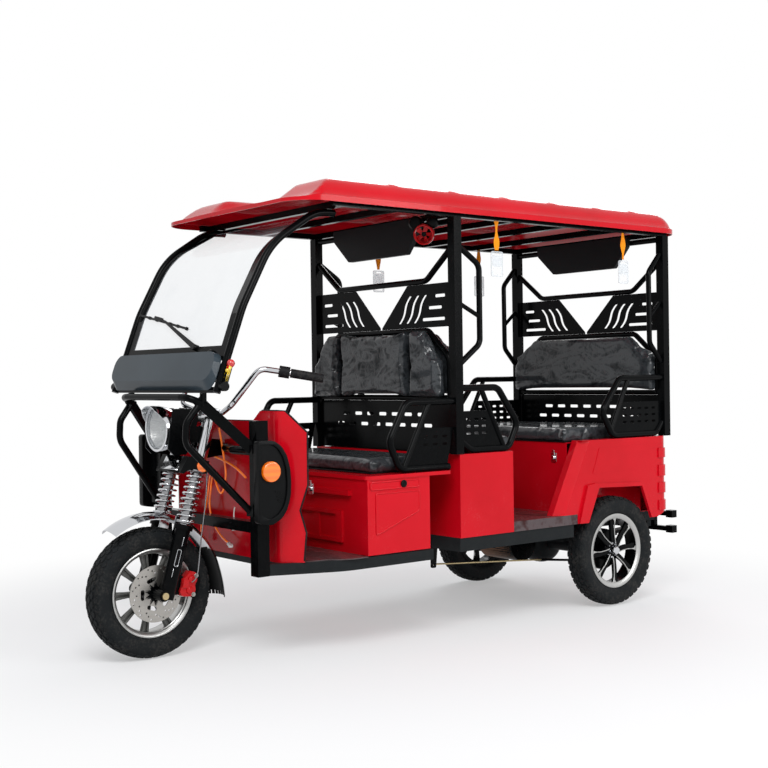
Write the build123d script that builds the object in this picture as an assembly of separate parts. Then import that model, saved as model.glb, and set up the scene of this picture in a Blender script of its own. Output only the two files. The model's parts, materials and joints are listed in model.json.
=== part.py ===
# Electric passenger tricycle: one steered front wheel, two driven rear wheels,
# a driver's bench, a rear-facing middle bench, a rear bench and a hard canopy.
# Units are millimetres. +X is forward, +Y is the rider's left, +Z is up.
# The origin is on the ground under the middle of the vehicle.
import os
from math import atan2, cos, degrees, radians, sin

from build123d import *

os.makedirs("parts", exist_ok=True)

# ---------------------------------------------------------------- driving dimensions
WHEELBASE = 2075
FRONT_AXLE_X = 1160
REAR_AXLE_X = FRONT_AXLE_X - WHEELBASE
TRACK = 880                     # between the middles of the rear tyres
TYRE_RADIUS = 245
TYRE_WIDTH = 98
BEAD_RADIUS = 152
RIM_FLANGE_RADIUS = 165
RIM_HALF_WIDTH = 36

BODY_HALF = 495                 # outer face of the red side panels
SKIN = 3                        # pressed sheet panels
SHEET = 2.5                     # flat welded plates
SEAT_GAP = 0.3                  # between pieces that are bolted or laid together
FIT = 0.05                      # radial clearance of a running fit

POST_SIZE = 40
POST_Y = 478                    # middle of the four roof posts
POST_TOP = 1674
SEAT_ROW_X = (33, -1258)        # planes of the two seat-back frames

FLOOR_Z = 430                   # top of the cabin floor
RAIL_BOTTOM = 333
RAIL_TOP = 388
RAIL_WIDTH = 40
LOW_RAIL_BOTTOM = 318
LOW_RAIL_TOP = 360

DRIVER_BOX_FRONT = 502
DRIVER_BOX_REAR = 195
DRIVER_DECK_REAR = 78
DRIVER_DECK_Z = 650
MIDDLE_BOX_FRONT = 34
MIDDLE_BOX_REAR = -261
MIDDLE_BOX_TOP = 724
BENCH_FRONT = -645
BODY_REAR = -1264
BODY_TOP = 748

RAKE = 16.8                     # steering axis leans back, in degrees
FORK_Y = 94                     # middle of each fork leg
FORK_OFFSET = 42                # fork legs stand ahead of the steering axis
FORK_AXLE_LEAD = 23             # axle stands ahead of the legs


# ---------------------------------------------------------------- helpers
def block(x0, x1, y0, y1, z0, z1):
    """A box from its six limits."""
    middle = ((x0 + x1) / 2, (y0 + y1) / 2, (z0 + z1) / 2)
    return Pos(*middle) * Box(abs(x1 - x0), abs(y1 - y0), abs(z1 - z0))


def both_sides(shape):
    """The piece and its mirror image across the vehicle's middle plane."""
    return [shape, mirror(shape, about=Plane.XZ)]


def bent_path(points, radius):
    """Straight runs through the points, with a round bend at each inner point."""
    corners = [Vector(*point) for point in points]
    if len(corners) == 2:
        return Polyline(corners)
    radii = [radius] * (len(corners) - 2) if isinstance(radius, (int, float)) else radius
    return FilletPolyline(*corners, radius=radii)


def round_tube(points, diameter, radius=30):
    """A round bar or tube along a bent path, closed at its ends."""
    path = bent_path(points, radius)
    start = Vector(*points[0])
    section = Plane(start, z_dir=Vector(*points[1]) - start) * Circle(diameter / 2)
    return sweep(section, path=path)


def rod(start, end, diameter):
    """A straight round bar between two points."""
    start = Vector(*start)
    along = Vector(*end) - start
    return extrude(Plane(start, z_dir=along) * Circle(diameter / 2), along.length)


def square_bar(start, end, width, height, up=(0, 0, 1)):
    """A straight rectangular bar: width across, height along the up direction."""
    start = Vector(*start)
    along = Vector(*end) - start
    across = Vector(*up).cross(along)
    plane = Plane(start, x_dir=across, z_dir=along)
    return extrude(plane * Rectangle(width, height), along.length)


def side_plate(points, y0, y1, corner=0):
    """A plate in the XZ plane from y0 to y1."""
    outline = Polyline([(x, z) for x, z in points], close=True)
    face = make_face(outline)
    if corner:
        face = fillet(face.vertices(), corner)
    plane = Plane(origin=(0, max(y0, y1), 0), x_dir=(1, 0, 0), z_dir=(0, -1, 0))
    return extrude(plane * face, abs(y1 - y0))


def bent_sheet(points, radii, thickness, y0, y1):
    """A sheet of even thickness whose XZ line is bent, from y0 to y1."""
    line = FilletPolyline(*points, radius=radii)
    face = make_face(offset(line, thickness, side=Side.RIGHT, closed=True))
    plane = Plane(origin=(0, max(y0, y1), 0), x_dir=(1, 0, 0), z_dir=(0, -1, 0))
    return extrude(plane * face, abs(y1 - y0))


def front_plate(points, x0, x1, corner=0):
    """A plate in the YZ plane from x0 to x1."""
    face = make_face(Polyline([(y, z) for y, z in points], close=True))
    if corner:
        face = fillet(face.vertices(), corner)
    plane = Plane(origin=(min(x0, x1), 0, 0), x_dir=(0, 1, 0), z_dir=(1, 0, 0))
    return extrude(plane * face, abs(x1 - x0))


def axle_disc(x, y0, y1, z, outer, inner=0):
    """A disc or ring about a sideways axis, from y0 to y1."""
    face = Circle(outer)
    if inner:
        face = face - Circle(inner)
    plane = Plane(origin=(x, max(y0, y1), z), x_dir=(1, 0, 0), z_dir=(0, -1, 0))
    return extrude(plane * face, abs(y1 - y0))


def spun(profile, x, y, z):
    """Turns an (outward, radius) profile about a sideways axis at x, y, z."""
    face = make_face(profile)
    ring = revolve(Plane.XY * face, axis=Axis.X)
    return Pos(x, y, z) * Rot(0, 0, 90) * ring


SOLIDS = {}


def node(name, *shapes):
    """Writes one named sub-part, from one or more solids."""
    solids = []
    for shape in shapes:
        for item in (shape if isinstance(shape, (list, tuple)) else [shape]):
            solids.extend(item.solids())
    SOLIDS[name] = solids
    whole = solids[0] if len(solids) == 1 else Compound(children=solids)
    whole.label = name
    export_step(whole, f"parts/{name}.step")
    print(f"{name:26s} {len(solids):3d} solids")


# ---------------------------------------------------------------- steering geometry
# The steering frame: its origin is where the axis passes the height of the axle,
# +z runs up the axis and +x points forward across it.
lean = radians(RAKE)
axis_at_axle = FRONT_AXLE_X - (FORK_OFFSET + FORK_AXLE_LEAD) / cos(lean)
steer_plane = Plane(
    origin=(axis_at_axle, 0, TYRE_RADIUS),
    x_dir=(cos(lean), 0, sin(lean)),
    z_dir=(-sin(lean), 0, cos(lean)),
)
steer_place = steer_plane.location


def steered(x, y, z):
    """A point of the steering frame in the vehicle's frame."""
    spot = steer_plane.from_local_coords(Vector(x, y, z))
    return (spot.X, spot.Y, spot.Z)


def in_fork(shape):
    """Puts a shape drawn in the steering frame into the vehicle."""
    return steer_place * shape


def up_fork(radius, z0, z1, x=FORK_OFFSET, y=0.0, inner=0.0):
    """A round piece along the steering axis, between two heights."""
    face = Circle(radius)
    if inner:
        face = face - Circle(inner)
    return in_fork(Pos(x, y, z0) * extrude(face, z1 - z0))


# Where the wheel's axle lies in the steering frame.
axle_local = steer_plane.to_local_coords(Vector(FRONT_AXLE_X, 0, TYRE_RADIUS))
# Heights along the axis, above the axle's height.
LOWER_YOKE = (458, 486)
UPPER_YOKE = (640, 662)
SPRING = (255, 448)
HEAD_TUBE = (LOWER_YOKE[1] + 5, UPPER_YOKE[0] - 5)
HEAD_TUBE_RADIUS = 26
STEM_RADIUS = 14
LEG_RADIUS = 16
SLEEVE_RADIUS = 24
SLIDER_RADIUS = 29
SPRING_RADIUS = 36
SPRING_WIRE = 7
SPRING_TURNS = 9


# ---------------------------------------------------------------- wheels
def tyre(x, y):
    """A road tyre: round tread, bulged side walls and a bore for the rim."""
    half = TYRE_WIDTH / 2
    shoulder = TYRE_RADIUS - 16
    bead = RIM_HALF_WIDTH - 4.3
    line = [
        Line((-bead, BEAD_RADIUS), (bead, BEAD_RADIUS)),
        Line((bead, BEAD_RADIUS), (bead, RIM_FLANGE_RADIUS + 2)),
        ThreePointArc((bead, RIM_FLANGE_RADIUS + 2), (half, 200), (half - 6, shoulder)),
        ThreePointArc((half - 6, shoulder), (0, TYRE_RADIUS), (6 - half, shoulder)),
        ThreePointArc((6 - half, shoulder), (-half, 200), (-bead, RIM_FLANGE_RADIUS + 2)),
        Line((-bead, RIM_FLANGE_RADIUS + 2), (-bead, BEAD_RADIUS)),
    ]
    return spun(line, x, y, TYRE_RADIUS)


def rim_barrel(x, y):
    """The rolled ring that the tyre sits on, with a lip on each side."""
    w = RIM_HALF_WIDTH
    wall = 6
    seat = BEAD_RADIUS - SEAT_GAP
    outline = Polyline(
        (-w, RIM_FLANGE_RADIUS), (4 - w, RIM_FLANGE_RADIUS), (4 - w, seat),
        (w - 4, seat), (w - 4, RIM_FLANGE_RADIUS), (w, RIM_FLANGE_RADIUS),
        (w, seat - wall), (-w, seat - wall), close=True)
    return spun(outline, x, y, TYRE_RADIUS)


def wheel_plane(x, y):
    """Drawing plane of a wheel's disc: local z points to the vehicle's left."""
    return Plane(origin=(x, y, TYRE_RADIUS), x_dir=(1, 0, 0), z_dir=(0, 1, 0))


def cast_rim(x, y, face_side, spokes, hub_radius, hub_depth, bore, spoke_outline, spoke_y):
    """Barrel, hub and a ring of spokes as one casting."""
    wheel = rim_barrel(x, y)
    hub = axle_disc(x, y - hub_depth / 2, y + hub_depth / 2, TYRE_RADIUS, hub_radius)
    wheel = wheel + hub
    plane = wheel_plane(x, y)
    depth0, depth1 = spoke_y
    for index in range(spokes):
        face = Rot(0, 0, 360 / spokes * index) * spoke_outline
        low, high = sorted((depth0 * face_side, depth1 * face_side))
        wheel = wheel + extrude(plane.offset(low) * face, high - low)
    bore_cut = axle_disc(x, y - hub_depth, y + hub_depth, TYRE_RADIUS, bore)
    return wheel - bore_cut


def front_spoke():
    """Straight spoke with a groove down its middle, as two ribs."""
    rib = Polyline((34, 3), (148, 8), (148, 17), (34, 13), close=True)
    upper = make_face(rib)
    web = make_face(Polyline((34, -4), (148, -9), (148, 9), (34, 4), close=True))
    return upper + mirror(upper, about=Plane.XZ) + web


def rear_spoke():
    """Swept spoke: narrow at the hub, flaring into the lip ring."""
    outline = Polyline((40, -11), (96, -20), (149, -26), (149, -2), (100, -4), (40, 9), close=True)
    return make_face(outline)


AXLE_PIN = 8
front_hub_half = 50
front_rim = cast_rim(FRONT_AXLE_X, 0, 1, 9, 42, 2 * front_hub_half, AXLE_PIN + FIT,
                     front_spoke(), (-4, 14))
node("front_tyre", tyre(FRONT_AXLE_X, 0))
node("front_rim", front_rim)

DISC_Y = front_hub_half + SEAT_GAP
DISC_THICK = 4
DISC_RADIUS = 106
disc = axle_disc(FRONT_AXLE_X, DISC_Y, DISC_Y + DISC_THICK, TYRE_RADIUS, DISC_RADIUS, 26)
disc_plane = wheel_plane(FRONT_AXLE_X, DISC_Y - 1)
for index in range(5):
    window = Rot(0, 0, 72 * index) * (Pos(54, 0) * SlotOverall(40, 16, rotation=90))
    disc = disc - extrude(disc_plane * window, DISC_THICK + 2)
for ring, (radius, turn) in enumerate(((78, 0), (87, 9), (96, 18))):
    holes = PolarLocations(radius, 12, start_angle=turn)
    drills = [place * Circle(3.5) for place in holes]
    disc = disc - extrude(disc_plane * Sketch(children=drills), DISC_THICK + 2)
node("brake_disc", disc)

REAR_STUB = 15
REAR_RIM_HUB = 70
drum_outer = 92
for side, name in ((1, "left"), (-1, "right")):
    wheel_y = side * TRACK / 2
    rim = cast_rim(REAR_AXLE_X, wheel_y, side, 8, 48, REAR_RIM_HUB, REAR_STUB + FIT,
                   rear_spoke(), (14, 30))
    cap_y = wheel_y + side * REAR_RIM_HUB / 2
    node(f"rear_tyre_{name}", tyre(REAR_AXLE_X, wheel_y))
    drum_in = wheel_y - side * REAR_RIM_HUB / 2 - side * 38
    drum_out = wheel_y - side * REAR_RIM_HUB / 2 - side * SEAT_GAP
    drum = axle_disc(REAR_AXLE_X, drum_in, drum_out, TYRE_RADIUS, drum_outer, REAR_STUB + FIT)
    hollow = axle_disc(REAR_AXLE_X, drum_in - side, drum_out - side * 8, TYRE_RADIUS,
                       drum_outer - 8, REAR_STUB + 12)
    cap = axle_disc(REAR_AXLE_X, cap_y + side * SEAT_GAP, cap_y + side * 10, TYRE_RADIUS, 24)
    node(f"rear_rim_{name}", rim, drum - hollow, cap)

# ---------------------------------------------------------------- chassis
rail_y = BODY_HALF - 5 - RAIL_WIDTH / 2
CABIN_RAIL_REAR = -625
side_rail = block(CABIN_RAIL_REAR, MIDDLE_BOX_FRONT, rail_y - RAIL_WIDTH / 2,
                  rail_y + RAIL_WIDTH / 2, RAIL_BOTTOM, RAIL_TOP)
AXLE_RAIL_Y = 300
AXLE_RAIL_REAR = -1372
axle_rail = block(AXLE_RAIL_REAR, CABIN_RAIL_REAR - SEAT_GAP, AXLE_RAIL_Y - 20,
                  AXLE_RAIL_Y + 20, RAIL_BOTTOM, RAIL_TOP)

FRONT_POST_X = 899
FRONT_POST_Y = 365
FRONT_POST = 50
LOW_RAIL_HEIGHT = LOW_RAIL_TOP - LOW_RAIL_BOTTOM
low_mid = (LOW_RAIL_TOP + LOW_RAIL_BOTTOM) / 2
LOW_RAIL_REAR = 175
bend_x = 600
low_path = bent_path([(LOW_RAIL_REAR, rail_y, low_mid), (bend_x, rail_y, low_mid),
                      (FRONT_POST_X - FRONT_POST / 2 - SEAT_GAP, FRONT_POST_Y, low_mid)], 250)
low_section = Plane(origin=(LOW_RAIL_REAR, rail_y, low_mid), x_dir=(0, 1, 0),
                    z_dir=(1, 0, 0)) * Rectangle(RAIL_WIDTH, LOW_RAIL_HEIGHT)
low_rail = sweep(low_section, path=low_path)
post_front = FRONT_POST_X - FRONT_POST / 2 - SEAT_GAP
low_rail = low_rail - block(post_front, post_front + 80, 300, 500, 300, 400)

cross_half = rail_y - RAIL_WIDTH / 2 - SEAT_GAP
members = []
for member_x in (195, 560):
    members.append(block(member_x - 20, member_x + 20, -cross_half, cross_half,
                         LOW_RAIL_BOTTOM, LOW_RAIL_TOP))
for member_x in (14, -240, CABIN_RAIL_REAR + 20):
    members.append(block(member_x - 20, member_x + 20, -cross_half, cross_half,
                         RAIL_BOTTOM, RAIL_TOP))
rear_cross = AXLE_RAIL_Y - 20 - SEAT_GAP
members.append(block(-1130, -1090, -rear_cross, rear_cross, RAIL_BOTTOM, RAIL_TOP))
room_section = Plane(origin=(LOW_RAIL_REAR, rail_y, low_mid), x_dir=(0, 1, 0),
                     z_dir=(1, 0, 0)) * Rectangle(RAIL_WIDTH + 2 * SEAT_GAP, 60)
rail_room = sweep(room_section, path=low_path)
foot_member = block(720, 760, -430, 430, LOW_RAIL_BOTTOM, LOW_RAIL_TOP)
for cut in both_sides(rail_room):
    foot_member = foot_member - cut
members.append(foot_member.solids().sort_by(SortBy.VOLUME)[-1])
chassis_pieces = both_sides(side_rail) + both_sides(axle_rail) + both_sides(low_rail) + members
node("chassis_frame", chassis_pieces)

# ---------------------------------------------------------------- front frame and head tube
POST_FOOT = 318
FRONT_POST_TOP = 885
bow_z = 772
BOW_TUBE = 34
bow_back = 848
post_inner = FRONT_POST_Y - FRONT_POST / 2
front_posts = []
for side in (1, -1):
    y0, y1 = side * post_inner, side * (post_inner + FRONT_POST)
    front_posts.append(block(FRONT_POST_X - FRONT_POST / 2, FRONT_POST_X + FRONT_POST / 2,
                             y0, y1, POST_FOOT, FRONT_POST_TOP))
low_bar_z = 495
low_bar = block(FRONT_POST_X - 20, FRONT_POST_X + 20, -post_inner + SEAT_GAP,
                post_inner - SEAT_GAP, low_bar_z - 20, low_bar_z + 20)

bow_half = [(FRONT_POST_X, post_inner - SEAT_GAP), (FRONT_POST_X, 190), (bow_back, 80)]
bow_points = [(x, y, bow_z) for x, y in bow_half]
bow_points += [(x, -y, bow_z) for x, y in reversed(bow_half)]
bow = round_tube(bow_points, BOW_TUBE, 45)
head_tube = up_fork(HEAD_TUBE_RADIUS, *HEAD_TUBE, x=0)
head_x, _, head_z = steered(0, 0, (HEAD_TUBE[0] + HEAD_TUBE[1]) / 2)
gusset = side_plate([(bow_back - 10, bow_z - 30), (head_x + 10, bow_z - 42),
                     (head_x - 4, bow_z + 42), (bow_back - 10, bow_z + 30)], -7, 7)
head_bore = up_fork(STEM_RADIUS + FIT, HEAD_TUBE[0] - 5, HEAD_TUBE[1] + 5, x=0)
node("front_frame", front_posts, low_bar, bow + head_tube + gusset - head_bore)

# ---------------------------------------------------------------- steering fork
stem = up_fork(STEM_RADIUS, LOWER_YOKE[0], UPPER_YOKE[1], x=0)


YOKE_END = LEG_RADIUS + 8


def yoke(z0, z1):
    """Plate that clamps both fork legs and the steering stem."""
    outline = make_hull([
        *(Pos(FORK_OFFSET, FORK_Y) * Circle(YOKE_END)).edges(),
        *(Pos(FORK_OFFSET, -FORK_Y) * Circle(YOKE_END)).edges(),
        *(Pos(-4, 0) * Circle(STEM_RADIUS + 12)).edges(),
    ])
    return in_fork(Pos(0, 0, z0) * extrude(outline, z1 - z0))


fork = yoke(*LOWER_YOKE) + yoke(*UPPER_YOKE) + stem
sliders = []
springs = []
sleeves = []
axle_x = axle_local.X
for side in (1, -1):
    y = side * FORK_Y
    fork = fork + up_fork(LEG_RADIUS, SPRING[0] - 5, UPPER_YOKE[1] + 12, y=y)
    slider = up_fork(SLIDER_RADIUS, -30, SPRING[0] - 5 - SEAT_GAP, y=y)
    collar = up_fork(SPRING_RADIUS, SPRING[0] - 24, SPRING[0] - 5 - SEAT_GAP, y=y)
    lug_y0, lug_y1 = sorted((side * (FORK_Y - SLIDER_RADIUS), side * (FORK_Y + SLIDER_RADIUS)))
    lug = axle_disc(FRONT_AXLE_X, lug_y0, lug_y1, TYRE_RADIUS, 21)
    arm = in_fork(Pos((axle_x + FORK_OFFSET) / 2, y, 2) * Box(30, 34, 40))
    slider = slider + collar + lug + arm
    sliders.append(slider - axle_disc(FRONT_AXLE_X, -140, 140, TYRE_RADIUS, AXLE_PIN + FIT))
    pitch = (SPRING[1] - SPRING[0]) / SPRING_TURNS
    edge = []
    for turn in range(SPRING_TURNS):
        z = SPRING[0] + pitch * turn
        edge.append(ThreePointArc((SPRING_RADIUS - 4, z), (SPRING_RADIUS, z + pitch / 2),
                                  (SPRING_RADIUS - 4, z + pitch)))
    inner = LEG_RADIUS + SEAT_GAP
    edge.append(Polyline((SPRING_RADIUS - 4, SPRING[1]), (inner, SPRING[1]),
                         (inner, SPRING[0]), (SPRING_RADIUS - 4, SPRING[0])))
    coil = revolve(Plane.XZ * make_face(edge), axis=Axis.Z)
    springs.append(in_fork(Pos(FORK_OFFSET, y, 0) * coil))
    sleeve_low = LOWER_YOKE[1] + SEAT_GAP
    sleeve_high = UPPER_YOKE[0] - SEAT_GAP
    sleeve = up_fork(SLEEVE_RADIUS, sleeve_low, sleeve_high, y=y)
    sleeve = sleeve + up_fork(SLEEVE_RADIUS + 3, sleeve_high - 20, sleeve_high, y=y)
    sleeves.append(sleeve - up_fork(LEG_RADIUS + SEAT_GAP, sleeve_low - 5, sleeve_high + 5, y=y))

# An arm on the left slider reaches back to the brake caliper.
CALIPER_TURN = radians(167)
CALIPER_REACH = 118
caliper_x = FRONT_AXLE_X + CALIPER_REACH * cos(CALIPER_TURN)
caliper_z = TYRE_RADIUS + CALIPER_REACH * sin(CALIPER_TURN)
arm_outline = make_face(Polyline([
    (FRONT_AXLE_X - 8, TYRE_RADIUS - 12), (caliper_x + 12, TYRE_RADIUS - 8),
    (caliper_x - 6, caliper_z + 6), (caliper_x + 14, caliper_z + 30),
    (FRONT_AXLE_X - 40, TYRE_RADIUS + 90)], close=True))
arm_plane = Plane(origin=(0, 78, 0), x_dir=(1, 0, 0), z_dir=(0, -1, 0))
caliper_arm = extrude(arm_plane * arm_outline, 10)
arm_room = extrude(arm_plane.offset(-SEAT_GAP) * offset(arm_outline, SEAT_GAP), 10 + 2 * SEAT_GAP)
sliders[0] = sliders[0] + caliper_arm
sliders[0] = sliders[0] - axle_disc(FRONT_AXLE_X, 40, 140, TYRE_RADIUS, AXLE_PIN + FIT)
node("fork_sliders", sliders)
node("fork_springs", springs)
node("fork_sleeves", sleeves)

pin = axle_disc(FRONT_AXLE_X, -(FORK_Y + 30), FORK_Y + 30, TYRE_RADIUS, AXLE_PIN)
leg_out = FORK_Y + SLIDER_RADIUS + SEAT_GAP
leg_in = FORK_Y - SLIDER_RADIUS - SEAT_GAP
heads = [axle_disc(FRONT_AXLE_X, *sorted((side * leg_out, side * (leg_out + 9))),
                   TYRE_RADIUS, 13) for side in (1, -1)]
spacers = []
for side in (1, -1):
    inner_end = DISC_Y + DISC_THICK + 1 if side > 0 else front_hub_half + 1
    spacers.append(axle_disc(FRONT_AXLE_X, *sorted((side * inner_end, side * leg_in)),
                             TYRE_RADIUS, 13))
axle = pin
for piece in heads + spacers:
    axle = axle + piece
node("fork", fork, axle)

# Fender over the front wheel.
FENDER_HALF = 56
FENDER_RADIUS = 278
FENDER_FRONT = 55               # angles from straight ahead, over the top
FENDER_BACK = 158
FLAP_RADIUS = 505
FLAP_LENGTH = 156

fender_arc = [
    ThreePointArc((-FENDER_HALF, FENDER_RADIUS), (0, FENDER_RADIUS + 22),
                  (FENDER_HALF, FENDER_RADIUS)),
    Line((FENDER_HALF, FENDER_RADIUS), (FENDER_HALF, FENDER_RADIUS - 3)),
    ThreePointArc((FENDER_HALF, FENDER_RADIUS - 3), (0, FENDER_RADIUS + 19),
                  (-FENDER_HALF, FENDER_RADIUS - 3)),
    Line((-FENDER_HALF, FENDER_RADIUS - 3), (-FENDER_HALF, FENDER_RADIUS)),
]


def fender_sweep(start, turn, radius=None):
    """The fender's section carried round by a turn, about the wheel or a further centre."""
    outward = Vector(cos(radians(start)), 0, sin(radians(start)))
    centre = Vector(FRONT_AXLE_X, 0, TYRE_RADIUS)
    section = Plane(origin=centre, x_dir=(0, 1, 0), z_dir=Vector(0, 1, 0).cross(outward))
    if section.y_dir.dot(outward) < 0:
        section = Plane(origin=centre, x_dir=(0, 1, 0), z_dir=-section.z_dir)
    if radius:
        centre = centre + outward * (FENDER_RADIUS - radius)
    axis = Axis((centre.X, centre.Y, centre.Z), (0, -1, 0))
    return revolve(section * make_face(fender_arc), axis=axis, revolution_arc=turn)


fender = fender_sweep(FENDER_FRONT, FENDER_BACK - FENDER_FRONT)
stay_y = FORK_Y - SPRING_RADIUS - SEAT_GAP - 2
for side in (1, -1):
    fender = fender + in_fork(Pos(FORK_OFFSET, side * stay_y, 241) * Box(40, 4, 72))
seam = degrees(SEAT_GAP / FENDER_RADIUS)
flap_turn = degrees(FLAP_LENGTH / FLAP_RADIUS)
flap = fender_sweep(FENDER_BACK + seam, flap_turn, FLAP_RADIUS)
flap_low = flap.bounding_box().min.Z
for index in range(8):
    tooth_y = -49 + 14 * index
    flap = flap - block(800, 940, tooth_y - 2.5, tooth_y + 2.5, flap_low - 5, flap_low + 16)
node("front_fender", fender, flap)

# ---------------------------------------------------------------- handlebar and headlight
BAR = 22
GRIP = 34
CLAMP_Y = 45
clamp_base = UPPER_YOKE[1]
bar_half = [steered(-6, 20, clamp_base + 34), steered(-6, 90, clamp_base + 34),
            (903, 188, 940), (825, 262, 1076), (735, 305, 1060), (625, 372, 1037)]
bar_other = [(x, -y, z) for x, y, z in reversed(bar_half)]
handlebar = round_tube(bar_half[1:][::-1] + bar_other[::-1][1:][::1], BAR,
                       [40, 45, 40, 40, 40, 40, 45, 40])
bar_room = round_tube(bar_half[1:][::-1] + bar_other[:-1], BAR + 2 * SEAT_GAP,
                      [40, 45, 40, 40, 40, 40, 45, 40])
risers = []
for side in (1, -1):
    riser = in_fork(Pos(-6, side * CLAMP_Y, clamp_base + SEAT_GAP + 24) * Box(34, 26, 48))
    risers.append(riser - bar_room)
node("handlebar", handlebar, risers)

grip_dir = Vector(*bar_half[5]) - Vector(*bar_half[4])
grip_length = 125
grips = []
controls = []
for side in (1, -1):
    end = Vector(*bar_half[5])
    start = end - grip_dir.normalized() * (grip_length - 12)
    past = end + grip_dir.normalized() * 12
    start, end, past = [Vector(p.X, side * p.Y, p.Z) for p in (start, end, past)]
    bar_cut = rod(start - (past - start).normalized() * 60, end, BAR + 0.6)
    grips.append(rod(start, past, GRIP) - bar_cut)
    pod_end = start - (past - start).normalized() * 4
    pod_start = start - (past - start).normalized() * 44
    controls.append(rod(pod_start, pod_end, 44) - bar_room)
node("grips", grips, controls)

LAMP_Z = 855
LAMP_RADIUS = 85
LAMP_FRONT = 1118
LAMP_BOLT_X = LAMP_FRONT - 64
bowl_line = [
    Spline((0, LAMP_RADIUS), (-38, 76), (-75, 42), (-82, 0)),
    Line((-82, 0), (-78, 0)),
    Spline((-78, 0), (-71, 39), (-36, 72), (0, LAMP_RADIUS - 4)),
    Line((0, LAMP_RADIUS - 4), (0, LAMP_RADIUS)),
]
bowl = Pos(LAMP_FRONT - 10, 0, LAMP_Z) * revolve(make_face(bowl_line), axis=Axis.X)
ear_y = LAMP_RADIUS + 1
for side in (1, -1):
    boss = Plane(origin=(LAMP_BOLT_X, side * 66, LAMP_Z), x_dir=(1, 0, 0), z_dir=(0, side, 0))
    bowl = bowl + extrude(boss * Circle(9), ear_y - SEAT_GAP - 66)
bezel_ring = Circle(LAMP_RADIUS + 2) - Circle(LAMP_RADIUS - 7)
bezel_plane = Plane(origin=(LAMP_FRONT - 9.7, 0, LAMP_Z), x_dir=(0, 1, 0), z_dir=(1, 0, 0))
bezel = extrude(bezel_plane * bezel_ring, 12)
visor_ring = Circle(LAMP_RADIUS + 2) - Circle(LAMP_RADIUS - 1)
visor = extrude(bezel_plane * visor_ring, 46)
visor = visor & side_plate([(LAMP_FRONT - 12, LAMP_Z + 10), (LAMP_FRONT + 2, LAMP_Z + 22),
                            (LAMP_FRONT + 36, LAMP_Z + 70), (LAMP_FRONT + 36, LAMP_Z + 100),
                            (LAMP_FRONT - 12, LAMP_Z + 100)], -100, 100)
bezel = bezel + visor
lens_radius = LAMP_RADIUS - 7 - SEAT_GAP
lens_plane = Plane(origin=(LAMP_FRONT - 8, 0, LAMP_Z), x_dir=(0, 1, 0), z_dir=(1, 0, 0))
lens = extrude(lens_plane * Circle(lens_radius), 12)
lens = fillet(lens.edges().sort_by(Axis.X)[-1], 10)
node("headlight", bowl, bezel)
node("headlight_lens", lens)

# Ears that carry the headlight from the fork's upper tubes.
ears = []
ear_line = [(1096, 756), (1121, 782), (1098, 930), (995, 928), (990, 889), (1020, 798), (1043, 758)]
for side in (1, -1):
    plate = side_plate(ear_line, side * ear_y, side * (ear_y + 5), 8)
    lug = side_plate([(950, 800), (1026, 800), (1008, 862), (930, 862)], side * ear_y,
                     side * (ear_y + 5))
    bolt = axle_disc(LAMP_BOLT_X, side * (ear_y + 4), side * (ear_y + 12), LAMP_Z, 9)
    room = up_fork(SLEEVE_RADIUS + SEAT_GAP, 480, 630, y=side * FORK_Y)
    room = room + up_fork(SLEEVE_RADIUS + 3 + SEAT_GAP, sleeve_high - 21, sleeve_high + 5,
                          y=side * FORK_Y)
    bezel_room = extrude(bezel_plane.offset(-2) * Circle(LAMP_RADIUS + 2 + SEAT_GAP), 60)
    ear = (plate + lug + bolt) - room - bezel_room
    ears.append(ear.solids().sort_by(SortBy.VOLUME)[-1])
node("headlight_bracket", ears)

# Silver hood over the lower yoke, with a turn lamp on each cheek.
HOOD_FRONT = 112
HOOD_REAR = 24
HOOD_FRONT_HALF = 94
HOOD_REAR_HALF = 134
hood_top = 500
cheek = atan2(HOOD_REAR_HALF - HOOD_FRONT_HALF, HOOD_FRONT - HOOD_REAR)


def hood_form(inset):
    """The hood's outer form, or its room when inset by the wall."""
    wide = inset / cos(cheek)
    plan = Polyline((HOOD_FRONT, HOOD_FRONT_HALF - wide), (HOOD_REAR - inset, HOOD_REAR_HALF - wide),
                    (HOOD_REAR - inset, wide - HOOD_REAR_HALF), (HOOD_FRONT, wide - HOOD_FRONT_HALF),
                    close=True)
    body = Pos(0, 0, 400) * extrude(make_face(plan), 120)
    profile = Polyline((HOOD_FRONT - inset, 432), (97 - inset, hood_top + inset),
                       (HOOD_REAR - inset, hood_top + inset), (HOOD_REAR - inset, 452 - inset),
                       (82, 452 - inset), (100, 432 - inset), (HOOD_FRONT - inset, 432 - inset),
                       close=True)
    side_view = Plane(origin=(0, 150, 0), x_dir=(1, 0, 0), z_dir=(0, -1, 0)) * make_face(profile)
    return body & extrude(side_view, 300)


hood = hood_form(0) - hood_form(3)
yoke_front = FORK_OFFSET + YOKE_END + SEAT_GAP
for side in (1, -1):
    hood = hood + Pos((yoke_front + 103) / 2, side * 40, 472) * Box(103 - yoke_front, 14, 16)
node("yoke_cover", in_fork(hood))
turn_lamps = []
for side in (1, -1):
    reach = (HOOD_FRONT - FORK_OFFSET) * sin(cheek) / cos(cheek)
    face = Plane(origin=(FORK_OFFSET, side * (HOOD_FRONT_HALF + reach), 476),
                 x_dir=(0, 0, 1), z_dir=(sin(cheek), side * cos(cheek), 0))
    lamp = extrude(face.offset(SEAT_GAP) * Circle(22.5), 18)
    lamp = fillet(lamp.edges().sort_by(Axis.Y)[-1 if side > 0 else 0], 7)
    turn_lamps.append(in_fork(lamp))
node("turn_lamps", turn_lamps)

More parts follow.
